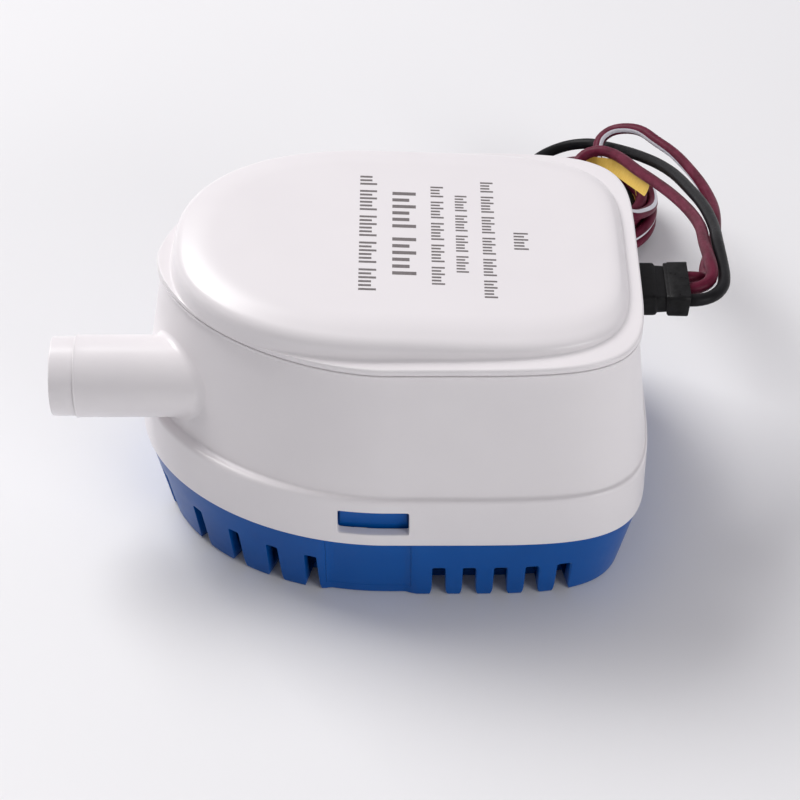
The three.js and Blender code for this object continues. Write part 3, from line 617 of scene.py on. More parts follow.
def curve_through(points, spacing):
    """A smooth line through points, with samples at an even spacing."""
    line = np.array(points, float)
    padded = np.vstack([2 * line[0] - line[1], line, 2 * line[-1] - line[-2]])
    samples = []
    for k in range(1, len(padded) - 2):
        p0, p1, p2, p3 = padded[k - 1:k + 3]
        t0 = 0.0
        t1 = t0 + math.sqrt(np.linalg.norm(p1 - p0))
        t2 = t1 + math.sqrt(np.linalg.norm(p2 - p1))
        t3 = t2 + math.sqrt(np.linalg.norm(p3 - p2))
        t = np.linspace(t1, t2, 24, endpoint=False)[:, None]

        def mix(before, after, start, end):
            return (end - t) / (end - start) * before + (t - start) / (end - start) * after

        middle = mix(p1, p2, t1, t2)
        low = mix(mix(p0, p1, t0, t1), middle, t0, t2)
        high = mix(middle, mix(p2, p3, t2, t3), t1, t3)
        samples.append(mix(low, high, t1, t2))
    fine = np.vstack(samples + [line[-1:]])
    along = lengths_along(fine)
    count = int(along[-1] / spacing)
    wanted = np.linspace(0, along[-1], count + 1)
    return np.column_stack([np.interp(wanted, along, fine[:, axis]) for axis in range(3)])


def cut_to(line, length):
    """The start of a line, up to a length, and what follows it."""
    along = lengths_along(line)
    count = int(np.searchsorted(along, length)) + 1
    return line[:count], line[count - 1:]


BLUNT = 0.35  # how far a lead's cut end is rounded, as a share of its radius


def sweep(name, line, radius, material, sides=20, twist=0.0, start=0.0):
    """A round tube along a line in metres, with slightly rounded ends and a UV of (length, share round)."""
    ahead = unit(np.gradient(line, axis=0))
    side = np.cross(ahead[0], (0, 0, 1))
    side /= np.linalg.norm(side)
    along = lengths_along(line)
    rings = []
    lengths = []
    total = along[-1]
    stop = len(line) - 1
    stations = [(0, -1.0), (0, -0.5)] + [(k, 0.0) for k in range(len(line))] + [(stop, 0.5), (stop, 1.0)]
    previous = 0
    for k, end in stations:
        if k != previous:
            side = side - ahead[k] * np.dot(side, ahead[k])
            side /= np.linalg.norm(side)
            previous = k
        other = np.cross(ahead[k], side)
        reach = radius * (1 - BLUNT * (1 - math.sqrt(max(0.0, 1 - abs(end) ** 2)))) if end else radius
        centre = line[k] + ahead[k] * end * BLUNT * radius
        ring = []
        for i in range(sides):
            angle = TURN * i / sides + start + twist * along[k]
            ring.append(centre + reach * (math.cos(angle) * side + math.sin(angle) * other))
        rings.append(ring)
        lengths.append(along[k] + end * BLUNT * radius)
    points = [point.tolist() for ring in rings for point in ring]
    faces = ring_faces(len(rings), sides)
    marks = []
    for here, there in zip(lengths, lengths[1:]):
        for i in range(sides):
            marks.append(((here, i), (here, i + 1), (there, i + 1), (there, i)))
    faces.append(tuple(reversed(range(sides))))
    marks.append(tuple((-total, i) for i in range(sides)))
    last = (len(rings) - 1) * sides
    faces.append(tuple(range(last, last + sides)))
    marks.append(tuple((2 * total, i) for i in range(sides)))
    mesh = bpy.data.meshes.new(name)
    mesh.from_pydata(points, [], faces)
    uv = mesh.uv_layers.new(name="along")
    flat = [value for face in marks for u, i in face for value in (u, i / sides)]
    uv.data.foreach_set("uv", flat)
    mesh.materials.append(material)
    piece = bpy.data.objects.new(name, mesh)
    show(piece)
    smooth(piece, 50)
    return piece


TIP_LENGTH = 0.007


def make_lead(name, points, material, twist, start):
    """One lead from the boot into the coil, with a bare tinned tip."""
    line = curve_through(points, 0.0014)
    lead_line, rest = cut_to(line, LEAD_LENGTH)
    lead = sweep(name + "_insulated", lead_line, LEAD_RADIUS * MM, material, 20, twist, start)
    tip_line, _ = cut_to(rest, TIP_LENGTH)
    tip = sweep(name + "_bare_tip", tip_line, BARE_RADIUS * MM, TINNED, 14)
    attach(tip, "base")
    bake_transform(lead)
    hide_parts(name)
    return lead, tip, lead_line


def lead_paths():
    """The full route of each lead: its free stretch, the way onto the coil, and its turns."""
    black = FREE_BLACK + [
        on_coil(18.9, 106, 17.4), on_coil(19.7, 128, 16.1), on_coil(19.7, 150, 15.7),
        on_coil(19.2, 172, 15.6), on_coil(17.6, 194, 15.5), on_coil(15.4, 216, 14.9),
        on_coil(13.5, 238, 13.0),
    ] + column(INNER_COLUMN, 262, 2.5) + [
        on_coil(12.5, 106, COIL_FLOOR), on_coil(11.4, 130, COIL_FLOOR), on_coil(10.2, 154, COIL_FLOOR),
    ] + column(CORE_COLUMN, 178, 2, down=False)
    red_upper = FREE_RED_UPPER + [
        on_coil(20.2, 308, 17.4), on_coil(20.0, 321, 15.4),
        on_coil(19.9, 335, 13.5), on_coil(19.8, 346, 12.2),
    ] + column(OUTER_COLUMN, 357, 2.75)
    red_lower = FREE_RED_LOWER + [
        on_coil(16.3, 276, 17.2), on_coil(16.5, 290, 15.8), on_coil(16.5, 303, 14.8),
    ] + column(MIDDLE_COLUMN, 315, 3.5)
    return {"lead_black": black, "lead_red_upper": red_upper, "lead_red_lower": red_lower}


LEAD_LOOKS = {
    "lead_black": (BLACK_LEAD, 0.0, 0.0),
    "lead_red_upper": (STRIPED_LEAD, 9.0, 0.85),
    "lead_red_lower": (RED_LEAD, 0.0, 0.0),
}
routes = lead_paths()
leads = {}
tips = {}
lead_lines = {}
for lead_name, (lead_material, lead_twist, lead_start) in LEAD_LOOKS.items():
    leads[lead_name], tips[lead_name], lead_lines[lead_name] = make_lead(
        lead_name, routes[lead_name], lead_material, lead_twist, lead_start
    )


def coil_tie(name, degrees, inner, outer, top):
    """A thin nylon strap round the bundle, with its ratchet block outside."""
    section = rounded([(inner, 0.05), (outer, 0.05), (outer, top), (inner, top)], [1.4, 1.4, 2.2, 2.2], 6)
    hole = grown(section, -0.6)
    half_width = 1.25
    angle = math.radians(degrees)
    out = np.array([math.cos(angle), math.sin(angle)])
    across = np.array([-out[1], out[0]])

    def place(outwards, sideways, z):
        x = COIL_X + out[0] * outwards + across[0] * sideways
        y = COIL_Y + out[1] * outwards + across[1] * sideways
        return (x, y, z)

    loops = []
    for outline, side, shrink in (
        (section, -1, 0.25), (section, -1, 0.0), (section, 1, 0.0), (section, 1, 0.25),
        (hole, 1, 0.0), (hole, -1, 0.0),
    ):
        ring = grown(outline, -shrink * 0.6)
        width = half_width - (0.0 if shrink else 0.12) if outline is section else half_width
        loops.append([place(r, side * width, max(z, 0.02)) for r, z in ring])
    points = [point for loop in loops for point in loop]
    faces = ring_faces(len(loops), len(section), closed=True)
    strap = new_piece(name, points, faces, NYLON, "base", 40)
    low = top * 0.42
    corners = rounded([(-2.1, -1.9), (2.1, -1.9), (2.1, 1.9), (-2.1, 1.9)], [0.6] * 4, 4)
    sections = []
    for depth, by in ((0.02, -0.4), (0.1, -0.1), (0.4, 0.0), (2.4, 0.0), (2.8, -0.15), (3.0, -0.5)):
        sections.append([place(outer + depth, u, low + v) for u, v in grown(corners, by)])
    block = prism(name + "_head", sections, NYLON, "base", 40)
    return [strap, block]


TIES = coil_tie("coil_tie_rear", 185, 7.8, 21.9, 13.8) + coil_tie("coil_tie_front", 250, 7.8, 21.9, 14.2)
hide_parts("lead_coil")


FLAG_SPAN = (77.5, 99.0)  # where the flag starts and ends along Y, in millimetres
FLAG_FALL = (6.2, 3.6)  # how far it hangs at its start, and how much less at its end
FLAG_SEARCH = 200  # samples of the lead, from the boot on, among which the two ends are found


def paper_flag():
    """A paper flag that hangs from the lower red lead."""
    line = lead_lines["lead_red_lower"][:FLAG_SEARCH] / MM
    first, last = (int(np.argmin(np.abs(line[:, 1] - y))) for y in FLAG_SPAN)
    steps = 16
    rows_of_points = []
    for k in range(steps + 1):
        share = k / steps
        place = line[int(round(first + (last - first) * share))]
        fall = np.array([-0.25, -0.2 * share, -1.0])
        fall /= np.linalg.norm(fall)
        reach = FLAG_FALL[0] - FLAG_FALL[1] * share ** 1.3
        rows_of_points.append([
            place + fall * (LEAD_RADIUS - 0.3 + (reach - LEAD_RADIUS + 0.3) * t)
            + np.array([0.3 * math.sin(3 * t + 2 * share), 0, 0]) for t in np.linspace(0, 1, 9)
        ])
    points = []
    faces = []
    across = len(rows_of_points[0])
    normal = np.array([0.62, 0.62, 0.0])
    for thickness in (0, 0.16):
        for row_points in rows_of_points:
            for point in row_points:
                points.append(point + normal * thickness)
    layer = (steps + 1) * across
    for k in range(steps):
        for i in range(across - 1):
            a = k * across + i
            faces.append((a, a + 1, a + across + 1, a + across))
            faces.append((layer + a, layer + a + across, layer + a + across + 1, layer + a + 1))
    rim = list(range(across))
    rim += [k * across + across - 1 for k in range(1, steps + 1)]
    rim += [steps * across + i for i in range(across - 2, -1, -1)]
    rim += [k * across for k in range(steps - 1, 0, -1)]
    for a, b in zip(rim, rim[1:] + rim[:1]):
        faces.append((a, b, layer + b, layer + a))
    flag = new_piece("paper_flag", points, faces, TAG_PAPER, None, 40)
    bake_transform(flag)
    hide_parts("lead_tag")


paper_flag()

# ------------ boot and tape

EXIT_Y = 1.0
EXIT_Z = 61.5


def flat_section(x, wide, tall, radius, lean=0.0):
    """A rounded rectangle across the exit at x, its lower side leaning along X."""
    corners = [(-wide / 2, -tall / 2), (wide / 2, -tall / 2), (wide / 2, tall / 2), (-wide / 2, tall / 2)]
    return [(x - lean * v, EXIT_Y + u, EXIT_Z + v) for u, v in rounded(corners, [radius] * 4, 6)]


def cable_boot():
    """A moulded flat boot: a thick root, a waist, and a collar that the leads come out of."""
    profile = [
        (72.35, 13.0, 4.8), (72.4, 14.0, 5.6), (72.75, 14.6, 6.1), (73.2, 14.8, 6.2), (76.0, 14.8, 6.2),
        (76.5, 14.6, 6.1), (76.8, 14.0, 5.6), (77.0, 13.7, 5.3), (79.4, 13.5, 5.1), (84.2, 13.4, 5.0),
        (84.6, 13.1, 4.7), (84.7, 12.4, 4.0),
    ]
    sections = [flat_section(x, wide, tall, 1.3) for x, wide, tall in profile]
    boot = prism("rubber_boot", sections, BOOT_RUBBER, "pump", 40)
    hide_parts("cable_boot")


def tape_wrap():
    """Two wraps of tape round the boot's collar, a little crooked."""
    turns = [(79.2, 84.4, 14.6, 6.0, 0.05), (79.7, 84.95, 15.0, 6.35, -0.07)]
    for k, (start, end, wide, tall, lean) in enumerate(turns):
        sections = []
        profile = [
            (start, -0.5), (start + 0.05, -0.12), (start + 0.3, 0.0),
            (end - 0.3, 0.06), (end - 0.05, -0.06), (end, -0.5),
        ]
        for x, by in profile:
            section = flat_section(x, wide + 2 * by, tall + 2 * by, 1.1, lean)
            wavy = [(
                px + 0.07 * math.sin(2.3 * py + 1.7 * k) * (1 if x > 82 else 0.6),
                py,
                pz + 0.03 * math.sin(1.9 * px + py),
            ) for px, py, pz in section]
            sections.append(wavy)
        wrap = prism(f"tape_wrap_{k + 1}", sections, TAPE, "pump", 40)
        if k == 0:
            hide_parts("boot_tape")


cable_boot()
tape_wrap()

# ------------ strainer base and its latch tabs

TAB_X = 4.2
TAB_WIDTH = 21.4
TAB_LOW = 3.3
DISH_DEPTH = 0.9
DISH_EDGE = 3.2
TAB_SEAM = 0.07
STRAIGHT_NOTCHES = [21.9, 29.7, 37.5, 45.4, 53.2]
NOSE_NOTCHES = [-9.9, -19.5, -29.1, -38.3, -46.7]
STRAIGHT_NOTCH_TOP = 11.6
NOSE_NOTCH_TOP = 13.8
BASE_SCREWS = [(-38, 0), (52, 24), (52, -24)]


def dished(points):
    """Presses a shallow finger panel with soft ends into each long side, where the latch tabs are."""
    x, y, z = points.T
    left = np.clip((x - (TAB_X - TAB_WIDTH / 2) + 1.5) / DISH_EDGE, 0, 1)
    right = np.clip(((TAB_X + TAB_WIDTH / 2) + 1.5 - x) / DISH_EDGE, 0, 1)
    share = left ** 2 * (3 - 2 * left) * right ** 2 * (3 - 2 * right)
    pressed = (np.abs(y) > 42) & (z < BASE_TOP + 0.3)
    points[:, 1] = y - np.sign(y) * DISH_DEPTH * share * pressed
    return points


def base_rows():
    outer = [
        row(FOOT, 0, 1.6), row(FOOT, 0, 0.0), row(between(FOOT, skirt_at(BASE_TOP), 0.1), 2.2, 0.05),
        row(skirt_at(BASE_TOP), BASE_TOP, 0.5), row(SKIRT_LOW, BASE_TOP, 3),
        row(SKIRT_LOW, 30, 3.3), row(SKIRT_LOW, 30, 5.4), row(SKIRT_LOW, 19.5, 5.4),
        row(SKIRT_LOW, 17, 3), row(FOOT, 2.5, WALL),
    ]
    soft = soften(outer, [0, 0.9, 0, 0.35, 0.3, 0.5, 0.5, 0.8, 0.8, 1.0], 5)
    underside = [row(FOOT, 0, 30), row(FOOT, 0, 12)]
    inner_floor = [row(FOOT, 2.5, 12), row(FOOT, 2.5, 30)]
    return underside + divided(soft, 2.0) + inner_floor


def base_shell(name, material=None):
    return loft(name, base_rows(), material, shape=dished)


def outline_at(values, x, side):
    """A row's point at x on one side, with the direction straight out of it, as (x, y), (nx, ny)."""
    angles = np.linspace(0.01, math.pi - 0.01, 4000)
    points = ring_points(values, angles)
    k = int(np.argmin(np.abs(points[:, 0] - x)))
    along = points[k - 1, :2] - points[k + 1, :2]
    along /= np.linalg.norm(along)
    normal = np.array([-along[1], along[0]])
    return np.array([points[k, 0], side * points[k, 1]]), np.array([normal[0], side * abs(normal[1])])


def notch_outline(height):
    corners = [
        (3.4, -1.2), (2.1, 0.3), (1.7, 2.2), (1.6, height),
        (-1.6, height), (-1.7, 2.2), (-2.1, 0.3), (-3.4, -1.2),
    ]
    return rounded(corners, [0, 1.0, 1.0, 0.6, 0.6, 1.0, 1.0, 0], 5)


def notch_tool(x, side, height):
    """The cutter for one strainer notch, which flares as it leaves the wall to round the notch's edge."""
    place, normal = outline_at(row(FOOT, 0), x, side)
    tangent = np.array([-normal[1], normal[0]])
    slope = 3.6 / BASE_TOP if x > 0 else 4.0 / BASE_TOP
    outline = notch_outline(height)
    sections = []
    for depth, by in [(-7.0, 0.0)] + EDGE_FLARE + [(4.0, 0.9)]:
        section = []
        for u, v in grown(outline, by * 0.8):
            flat = place + tangent * u + normal * (depth + slope * v)
            section.append((flat[0], flat[1], v))
        sections.append(section)
    return prism("notch_tool", sections)


def box_tool(low, high):
    x0, y0, z0 = low
    x1, y1, z1 = high
    return prism("box_tool", [[(x0, y0, z), (x1, y0, z), (x1, y1, z), (x0, y1, z)] for z in (z0, z1)])


def round_tool(x, y, z0, z1, radius, sides=48):
    angles = [TURN * k / sides for k in range(sides)]
    ring = [(x + radius * math.cos(a), y + radius * math.sin(a)) for a in angles]
    return prism("round_tool", [[(px, py, z) for px, py in ring] for z in (z0, z1)])


def strainer_base():
    base = base_shell("strainer_base_shell", BLUE)
    tools = []
    for side in (-1, 1):
        tools += [notch_tool(x, side, STRAIGHT_NOTCH_TOP) for x in STRAIGHT_NOTCHES]
        tools += [notch_tool(x, side, NOSE_NOTCH_TOP) for x in NOSE_NOTCHES]
        near, far = sorted((side * 38.0, side * 60.0))
        low = (TAB_X - TAB_WIDTH / 2 - TAB_SEAM, near, TAB_LOW - TAB_SEAM)
        high = (TAB_X + TAB_WIDTH / 2 + TAB_SEAM, far, 40)
        tools.append(box_tool(low, high))
    for x, y in BASE_SCREWS:
        tools.append(round_tool(x, y, -1, 1.2, 3.6))
        tools.append(round_tool(x, y, 1.21, 5, 2.4))
    boolean(base, tools)
    one_material(base, BLUE)
    smooth(base, 32)
    even_normals(base)
    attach(base, "base")
    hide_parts("strainer_base")


WINDOW_X = 5.6
WINDOW_WIDTH = 17.6
WINDOW_LOW = 25.5
WINDOW_HIGH = 32.7


def latch_tab(word, side):
    """A panel of the base's wall with the sloping hook that fills the housing's window."""
    tab = base_shell(f"latch_tab_{word}_panel", BLUE)
    near, far = sorted((side * 42.4, side * 60.0))
    frame_box = box_tool(
        (TAB_X - TAB_WIDTH / 2, near, TAB_LOW),
        (TAB_X + TAB_WIDTH / 2, far, 40),
    )
    boolean(tab, [frame_box], "INTERSECT")
    low = WINDOW_LOW + GAP
    high = WINDOW_HIGH - 0.5
    hook_rows = [
        row(skirt_at(low), low, 6.0), row(skirt_at(low), low, 3.0), row(skirt_at(high), high - 1, 1.5),
        row(skirt_at(high), high, 1.9), row(skirt_at(high), high, 6.0),
    ]
    hook_rows = soften(hook_rows, [0, 0.4, 0.5, 0.4, 0], 5)
    hook = loft("hook", [row(FOOT, low, 30)] + hook_rows + [row(FOOT, high, 30)])
    inner, outer = sorted((side * 44.6, side * 60.0))
    within = box_tool(
        (WINDOW_X - WINDOW_WIDTH / 2 + 0.5, inner, low - 1),
        (WINDOW_X + WINDOW_WIDTH / 2 - 0.5, outer, high + 1),
    )
    boolean(hook, [within], "INTERSECT")
    boolean(tab, [hook], "UNION")
    one_material(tab, BLUE)
    smooth(tab, 32)
    even_normals(tab)
    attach(tab, f"latch_{word}")
    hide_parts(f"latch_tab_{word}")


strainer_base()
latch_tab("front", -1)
latch_tab("rear", 1)

# ------------ housing with its hose spigot

SPIGOT_Y = -17.0
SPIGOT_Z = 48.0
SPIGOT_RADIUS = 10.4
SPIGOT_BORE = 8.4
SPIGOT_TIP = -75.0
SPIGOT_STEP = -68.9
FILLET = 1.5


def wall_x(y, z):
    """Where the left wall stands at a given y and z."""
    values = wall_at(max(z, SKIRT_TOP + 0.4))
    share = min(1.0, abs(y) / values[HALF]) ** values[LEFT_POWER]
    return values[WIDEST] + (values[LEFT] - values[WIDEST]) * (1 - share) ** (1 / values[LEFT_POWER])


def spigot_ring(x, radius, sides):
    """A circle of points round the spigot's axis."""
    angles = [TURN * k / sides for k in range(sides)]
    return [(x, SPIGOT_Y + radius * math.cos(a), SPIGOT_Z + radius * math.sin(a)) for a in angles]


def spigot_solid():
    """The spigot, stepped at its tip, with a fillet that runs out onto the curved wall."""
    sides = 144
    tip = SPIGOT_RADIUS - 0.35
    barrel = [
        (SPIGOT_TIP, SPIGOT_BORE - 0.5), (SPIGOT_TIP, tip - 0.5), (SPIGOT_TIP + 0.07, tip - 0.22),
        (SPIGOT_TIP + 0.25, tip - 0.05), (SPIGOT_TIP + 0.5, tip), (SPIGOT_STEP - 0.12, tip),
        (SPIGOT_STEP - 0.04, tip + 0.05), (SPIGOT_STEP, SPIGOT_RADIUS),
        (SPIGOT_STEP + 0.12, SPIGOT_RADIUS + 0.12), (SPIGOT_STEP + 0.35, SPIGOT_RADIUS + 0.12),
        (SPIGOT_STEP + 0.6, SPIGOT_RADIUS), (-66, SPIGOT_RADIUS),
    ]
    angles = [TURN * k / sides for k in range(sides)]
    sections = [spigot_ring(x, radius, sides) for x, radius in barrel]

    def fillet(a):
        return FILLET - 0.75 * max(0.0, -math.sin(a)) ** 4

    def place(a, radius):
        y = SPIGOT_Y + radius * math.cos(a)
        z = SPIGOT_Z + radius * math.sin(a)
        return np.array([wall_x(y, z), y, z])

    for t in np.linspace(0, 1, 12):
        ring = []
        for a in angles:
            reach = fillet(a)
            corner = place(a, SPIGOT_RADIUS)
            start = corner - np.array([1.3 * reach, 0, 0])
            end = place(a, SPIGOT_RADIUS + reach) + np.array([0.03, 0, 0])
            ring.append((1 - t) ** 2 * start + 2 * t * (1 - t) * corner + t * t * end)
        sections.append(ring)
    for sink, shrink in ((0.6, 0.1), (1.4, 0.6)):
        sections.append([
            place(a, SPIGOT_RADIUS + fillet(a) - shrink) + np.array([sink, 0, 0])
            for a in angles
        ])
    return prism("spigot", sections)


def bore_tool():
    """The cutter for the spigot's bore, flared at the tip."""
    profile = [
        (SPIGOT_TIP - 1, SPIGOT_BORE + 0.9), (SPIGOT_TIP, SPIGOT_BORE + 0.45),
        (SPIGOT_TIP + 0.2, SPIGOT_BORE + 0.15), (SPIGOT_TIP + 0.5, SPIGOT_BORE), (-34, SPIGOT_BORE),
    ]
    return prism("bore_tool", [spigot_ring(x, radius, 96) for x, radius in profile])


def window_tool(side):
    """The cutter for a latch window, flared where it leaves the skirt."""
    half = WINDOW_WIDTH / 2
    corners = [
        (WINDOW_X - half, WINDOW_LOW), (WINDOW_X + half, WINDOW_LOW),
        (WINDOW_X + half, WINDOW_HIGH), (WINDOW_X - half, WINDOW_HIGH),
    ]
    outline = rounded(corners, [0.7] * 4, 5)
    outline = np.vstack([
        np.linspace(a, b, 14, endpoint=False) if np.linalg.norm(b - a) > 3 else a[None]
        for a, b in zip(outline, np.roll(outline, -1, axis=0))
    ])
    sections = []
    for depth, by in [(-6.0, 0.0)] + EDGE_FLARE + [(4.0, 0.9)]:
        section = []
        for x, z in grown(outline, 0.6 * by):
            values = skirt_at(z)
            left = x < values[WIDEST]
            power = values[LEFT_POWER] if left else values[RIGHT_POWER]
            reach = (values[LEFT] if left else values[RIGHT]) - values[WIDEST]
            skin = values[HALF] * (1 - abs((x - values[WIDEST]) / reach) ** power) ** (1 / power)
            section.append((x, side * (skin + depth), z))
        sections.append(section)
    return prism("window_tool", sections)


def exit_tool():
    """The flat hole that the cable gland sits in."""
    sections = []
    for x, by in ((60, 0.0), (71.2, 0.0), (71.6, 0.08), (71.9, 0.3), (80, 2.0)):
        sections.append(flat_section(x, 16.6 + by, 7.2 + by, 3.0))
    return prism("exit_tool", sections)


def housing_rows():
    outer = [
        row(SKIRT_LOW, SKIRT_BOTTOM, WALL), row(SKIRT_LOW, SKIRT_BOTTOM), row(SKIRT_HIGH, SKIRT_TOP),
        row(WALL_LOW, SKIRT_TOP + 0.2), row(WALL_HIGH, RIM_BOTTOM), row(RIM, RIM_BOTTOM + 0.15),
        row(RIM, RIM_PART), row(WALL_HIGH, RIM_PART, WALL), row(wall_at(65.2), 65.2, WALL),
        row(wall_at(65.2), 65.2, 5), row(wall_at(65.2), 62.8, 5), row(wall_at(60), 60, WALL),
        row(WALL_LOW, SKIRT_TOP - WALL + 0.2, WALL), row(SKIRT_HIGH, SKIRT_TOP - WALL, WALL),
    ]
    radii = [0, 0.35, 1.5, 0.5, 0.35, 0.3, 0.3, 0.3, 0.3, 0.3, 0.3, 0.4, 0.4, 1.0]
    return divided(soften(outer, radii, 6) + [outer[0]], 3.0)[:-1]


def housing():
    shell = loft("housing_shell", housing_rows(), WHITE, closed=True)
    boolean(shell, [spigot_solid()], "UNION")
    boolean(shell, [bore_tool(), window_tool(-1), window_tool(1), exit_tool()])
    one_material(shell, WHITE)
    smooth(shell, 32)
    even_normals(shell)
    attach(shell, "pump")
    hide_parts("housing")


def housing_inside():
    """The deck, volute, riser and posts inside the housing: what its own solid holds within the walls."""
    source = frame["nodes"]["housing"]
    inside = bpy.data.objects.new("housing_inside", source.data.copy())
    one_material(inside, WHITE)
    show(inside)
    tidy(inside)
    room = loft("room", [
        row(SKIRT_LOW, 20, 30), row(SKIRT_LOW, 20, WALL + 0.05),
        row(SKIRT_HIGH, SKIRT_TOP - WALL, WALL + 0.05),
        row(WALL_LOW, SKIRT_TOP - WALL + 0.2, WALL + 0.05), row(wall_at(60), 60, WALL + 0.05),
        row(wall_at(62.8), 62.8, 5.05), row(wall_at(72), 76, 5.05), row(wall_at(72), 76, 30),
    ])
    boolean(inside, [room], "INTERSECT")
    smooth(inside, 30)
    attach(inside, "pump")
    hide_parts("housing")


housing()
housing_inside()

# ------------ cover and its printed marks


def top_cover():
    rows = [
        row(TOP_FACE, LID_TOP - WALL, 1, 1), row(PLATEAU, LID_TOP - 6, WALL, 1),
        row(PLATEAU, RIM_PART - 1, WALL),
        row(wall_at(67), 67, 5), row(wall_at(67), 67, WALL + 0.4), row(WALL_HIGH, RIM_PART + GAP, WALL + 0.4),
        row(RIM, RIM_PART + GAP), row(RIM, RIM_TOP), row(PLATEAU, RIM_TOP + 0.1),
        row(PLATEAU, LID_TOP - 2.2, 0.7, 1), row(TOP_FACE, LID_TOP - 0.1, 0, 1), row(TOP_FACE, LID_TOP, 8, 1),
    ]
    radii = [0, 1.0, 0.5, 0.3, 0.3, 0.3, 0.35, 0.8, 0.7, 2.4, 3.0, 0]
    soft = soften(rows, radii, 8)
    ends = [row(TOP_FACE, LID_TOP - WALL, 28, 1), row(TOP_FACE, LID_TOP - WALL, 12, 1)]
    caps = [row(TOP_FACE, LID_TOP, 14, 1), row(TOP_FACE, LID_TOP, 22, 1), row(TOP_FACE, LID_TOP, 30, 1)]
    cover = loft("cover_shell", ends + divided(soft, 3.0) + caps, WHITE, "pump", sharp=32)
    even_normals(cover)
    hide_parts("top_cover")


# Rows of plain upright ticks across the lid: (x of the row's middle, from y, to y, tick height, tick width).
TICK_ROWS = [
    (4.25, -22.0, 24.7, 4.3, 0.75),
    (13.25, -16.0, 18.6, 5.9, 1.25),
    (21.55, -19.0, 21.0, 3.2, 0.62),
    (27.55, -14.0, 17.5, 3.0, 0.58),
    (34.25, -23.4, 23.5, 3.2, 0.6),
    (42.25, -4.3, 4.3, 3.6, 0.6),
]
TICK_LIFT = 0.03


def printed_marks():
    """Generic grey ticks in place of print, as thin raised ink."""
    points = []
    faces = []
    tick_faces = [(3, 2, 1, 0), (4, 5, 6, 7)] + ring_faces(2, 4)
    for x, low, high, height, width in TICK_ROWS:
        count = int((high - low) / (2.0 * width))
        pitch = (high - low) / count
        for k in range(count):
            if k % 7 == 6:
                continue
            y = low + pitch * (k + 0.5)
            tall = height * (1.0 if k % 7 in (0, 3, 5) else 0.72)
            near = x - height / 2
            corners = [
                (near, y - width / 2), (near + tall, y - width / 2),
                (near + tall, y + width / 2), (near, y + width / 2),
            ]
            start = len(points)
            for lift in (0.004, TICK_LIFT):
                points += [(px, py, LID_TOP - LID_FALL * px + lift) for px, py in corners]
            faces += [tuple(start + i for i in face) for face in tick_faces]
    marks = new_piece("lid_ticks", points, faces, INK, "pump", 30)


top_cover()
printed_marks()

# ------------ finishes of the carried-over nodes

NODE_FINISHES = {
    WHITE: ["intake_plate", "float_bracket"],
    BLACK_PLASTIC: ["impeller", "motor_end_cap", "thrust_washer", "float_arm", "relay"],
    SEAL_RUBBER: ["cover_seal", "shaft_seal", "cable_gland"],
    STEEL: [
        "motor_can", "motor_shaft", "motor_strap", "float_pin", "bracket_screw", "brush_spring_left",
        "brush_spring_right", "volute_screw_1", "volute_screw_2", "volute_screw_3", "motor_screw_1",
        "motor_screw_2", "board_screw_1", "board_screw_2",
    ],
    IRON: [
        "armature_core", "field_magnet_left", "field_magnet_right",
        "brush_left", "brush_right", "float_magnet",
    ],
    BRASS: ["lower_bush", "upper_bush"],
    COPPER: ["armature_windings", "commutator"],
    RED_LEAD: ["motor_lead_positive", "switch_lead"],
    BLACK_LEAD: ["motor_lead_negative"],
    FLOAT_FOAM: ["float"],
    BOARD: ["switch_board"],
    GLASS: ["reed_switch"],
}
for node_material, node_names in NODE_FINISHES.items():
    for node_name in node_names:
        for node_slot in frame["nodes"][node_name].material_slots:
            node_slot.material = node_material

# ------------ floor and light


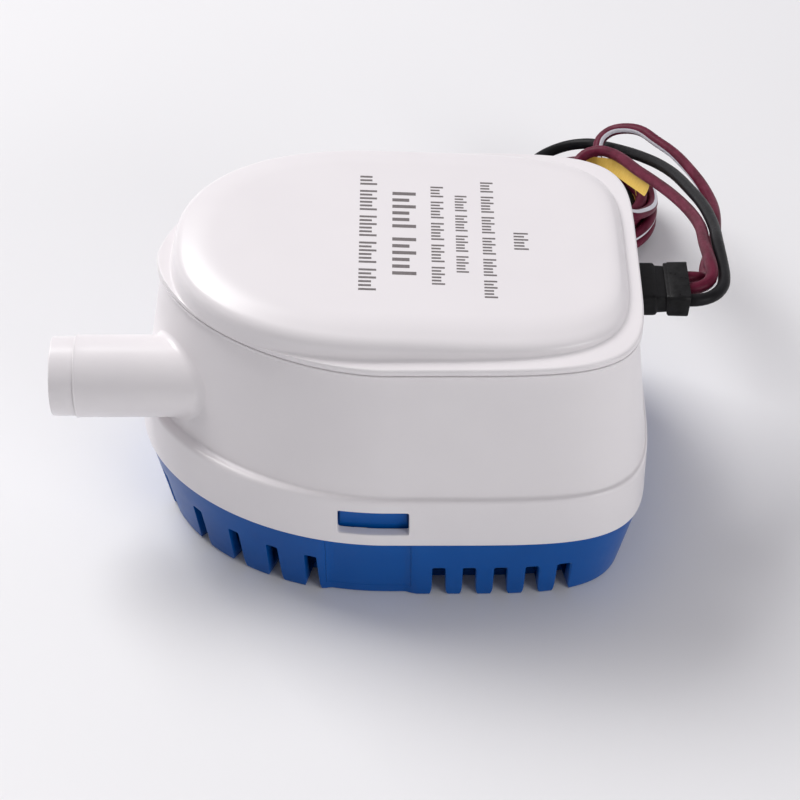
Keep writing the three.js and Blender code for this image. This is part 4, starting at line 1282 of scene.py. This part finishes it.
def floor():
    """The pale studio floor."""
    bpy.ops.mesh.primitive_plane_add(size=12, location=(0, 0, 0))
    plane = bpy.context.object
    plane.name = "studio_floor"
    material, tree, shader = new_material("studio_floor", (0.80, 0.80, 0.81), 0.55)
    shade = noise(tree, coordinates(tree), 3.0, 2)
    drive(tree, shader, "Base Color", shade, [(0.3, (0.79, 0.79, 0.80)), (0.7, (0.82, 0.82, 0.83))])
    plane.data.materials.append(material)


def area_light(name, at, towards, size, power, colour=(1, 1, 1)):
    data = bpy.data.lights.new(name, "AREA")
    data.shape = "RECTANGLE"
    data.size, data.size_y = size
    data.energy = power
    data.color = colour
    lamp = bpy.data.objects.new(name, data)
    lamp.location = at
    lamp.rotation_euler = (Vector(towards) - Vector(at)).to_track_quat("-Z", "Y").to_euler()
    show(lamp)


def world():
    """Pale light all round, dimmer from the front than from behind."""
    sky = bpy.data.worlds.new("studio")
    sky.use_nodes = True
    tree = sky.node_tree
    background = tree.nodes["Background"]
    background.inputs["Color"].default_value = (0.97, 0.94, 1.0, 1)
    source = tree.nodes.new("ShaderNodeTexCoord")
    centred = tree.nodes.new("ShaderNodeMapping")
    centred.inputs["Scale"].default_value = (0.5, 0.5, 0.5)
    centred.inputs["Location"].default_value = (0.5, 0.5, 0.5)
    split = tree.nodes.new("ShaderNodeSeparateXYZ")
    tree.links.new(source.outputs["Generated"], centred.inputs["Vector"])
    tree.links.new(centred.outputs["Vector"], split.inputs["Vector"])
    strength = ramp(tree, split.outputs["Y"], [(0.15, 0.14), (0.5, 0.40), (0.85, 0.52)])
    tree.links.new(strength, background.inputs["Strength"])
    bpy.context.scene.world = sky


floor()
world()
area_light("key", (-0.8, 0.75, 1.3), (0.0, 0.02, 0.03), (0.9, 0.9), 23, (1.0, 0.99, 0.985))
area_light("fill", (-0.1, -1.1, 0.9), (0, 0, 0.03), (1.2, 0.8), 1.0, (0.96, 0.97, 1.0))
area_light("side", (0.85, -0.85, 0.5), (0, 0, 0.04), (0.6, 0.5), 5.2)
area_light("nose_panel", (-1.1, 0.25, 0.22), (0, 0, 0.02), (0.6, 0.25), 0.6)
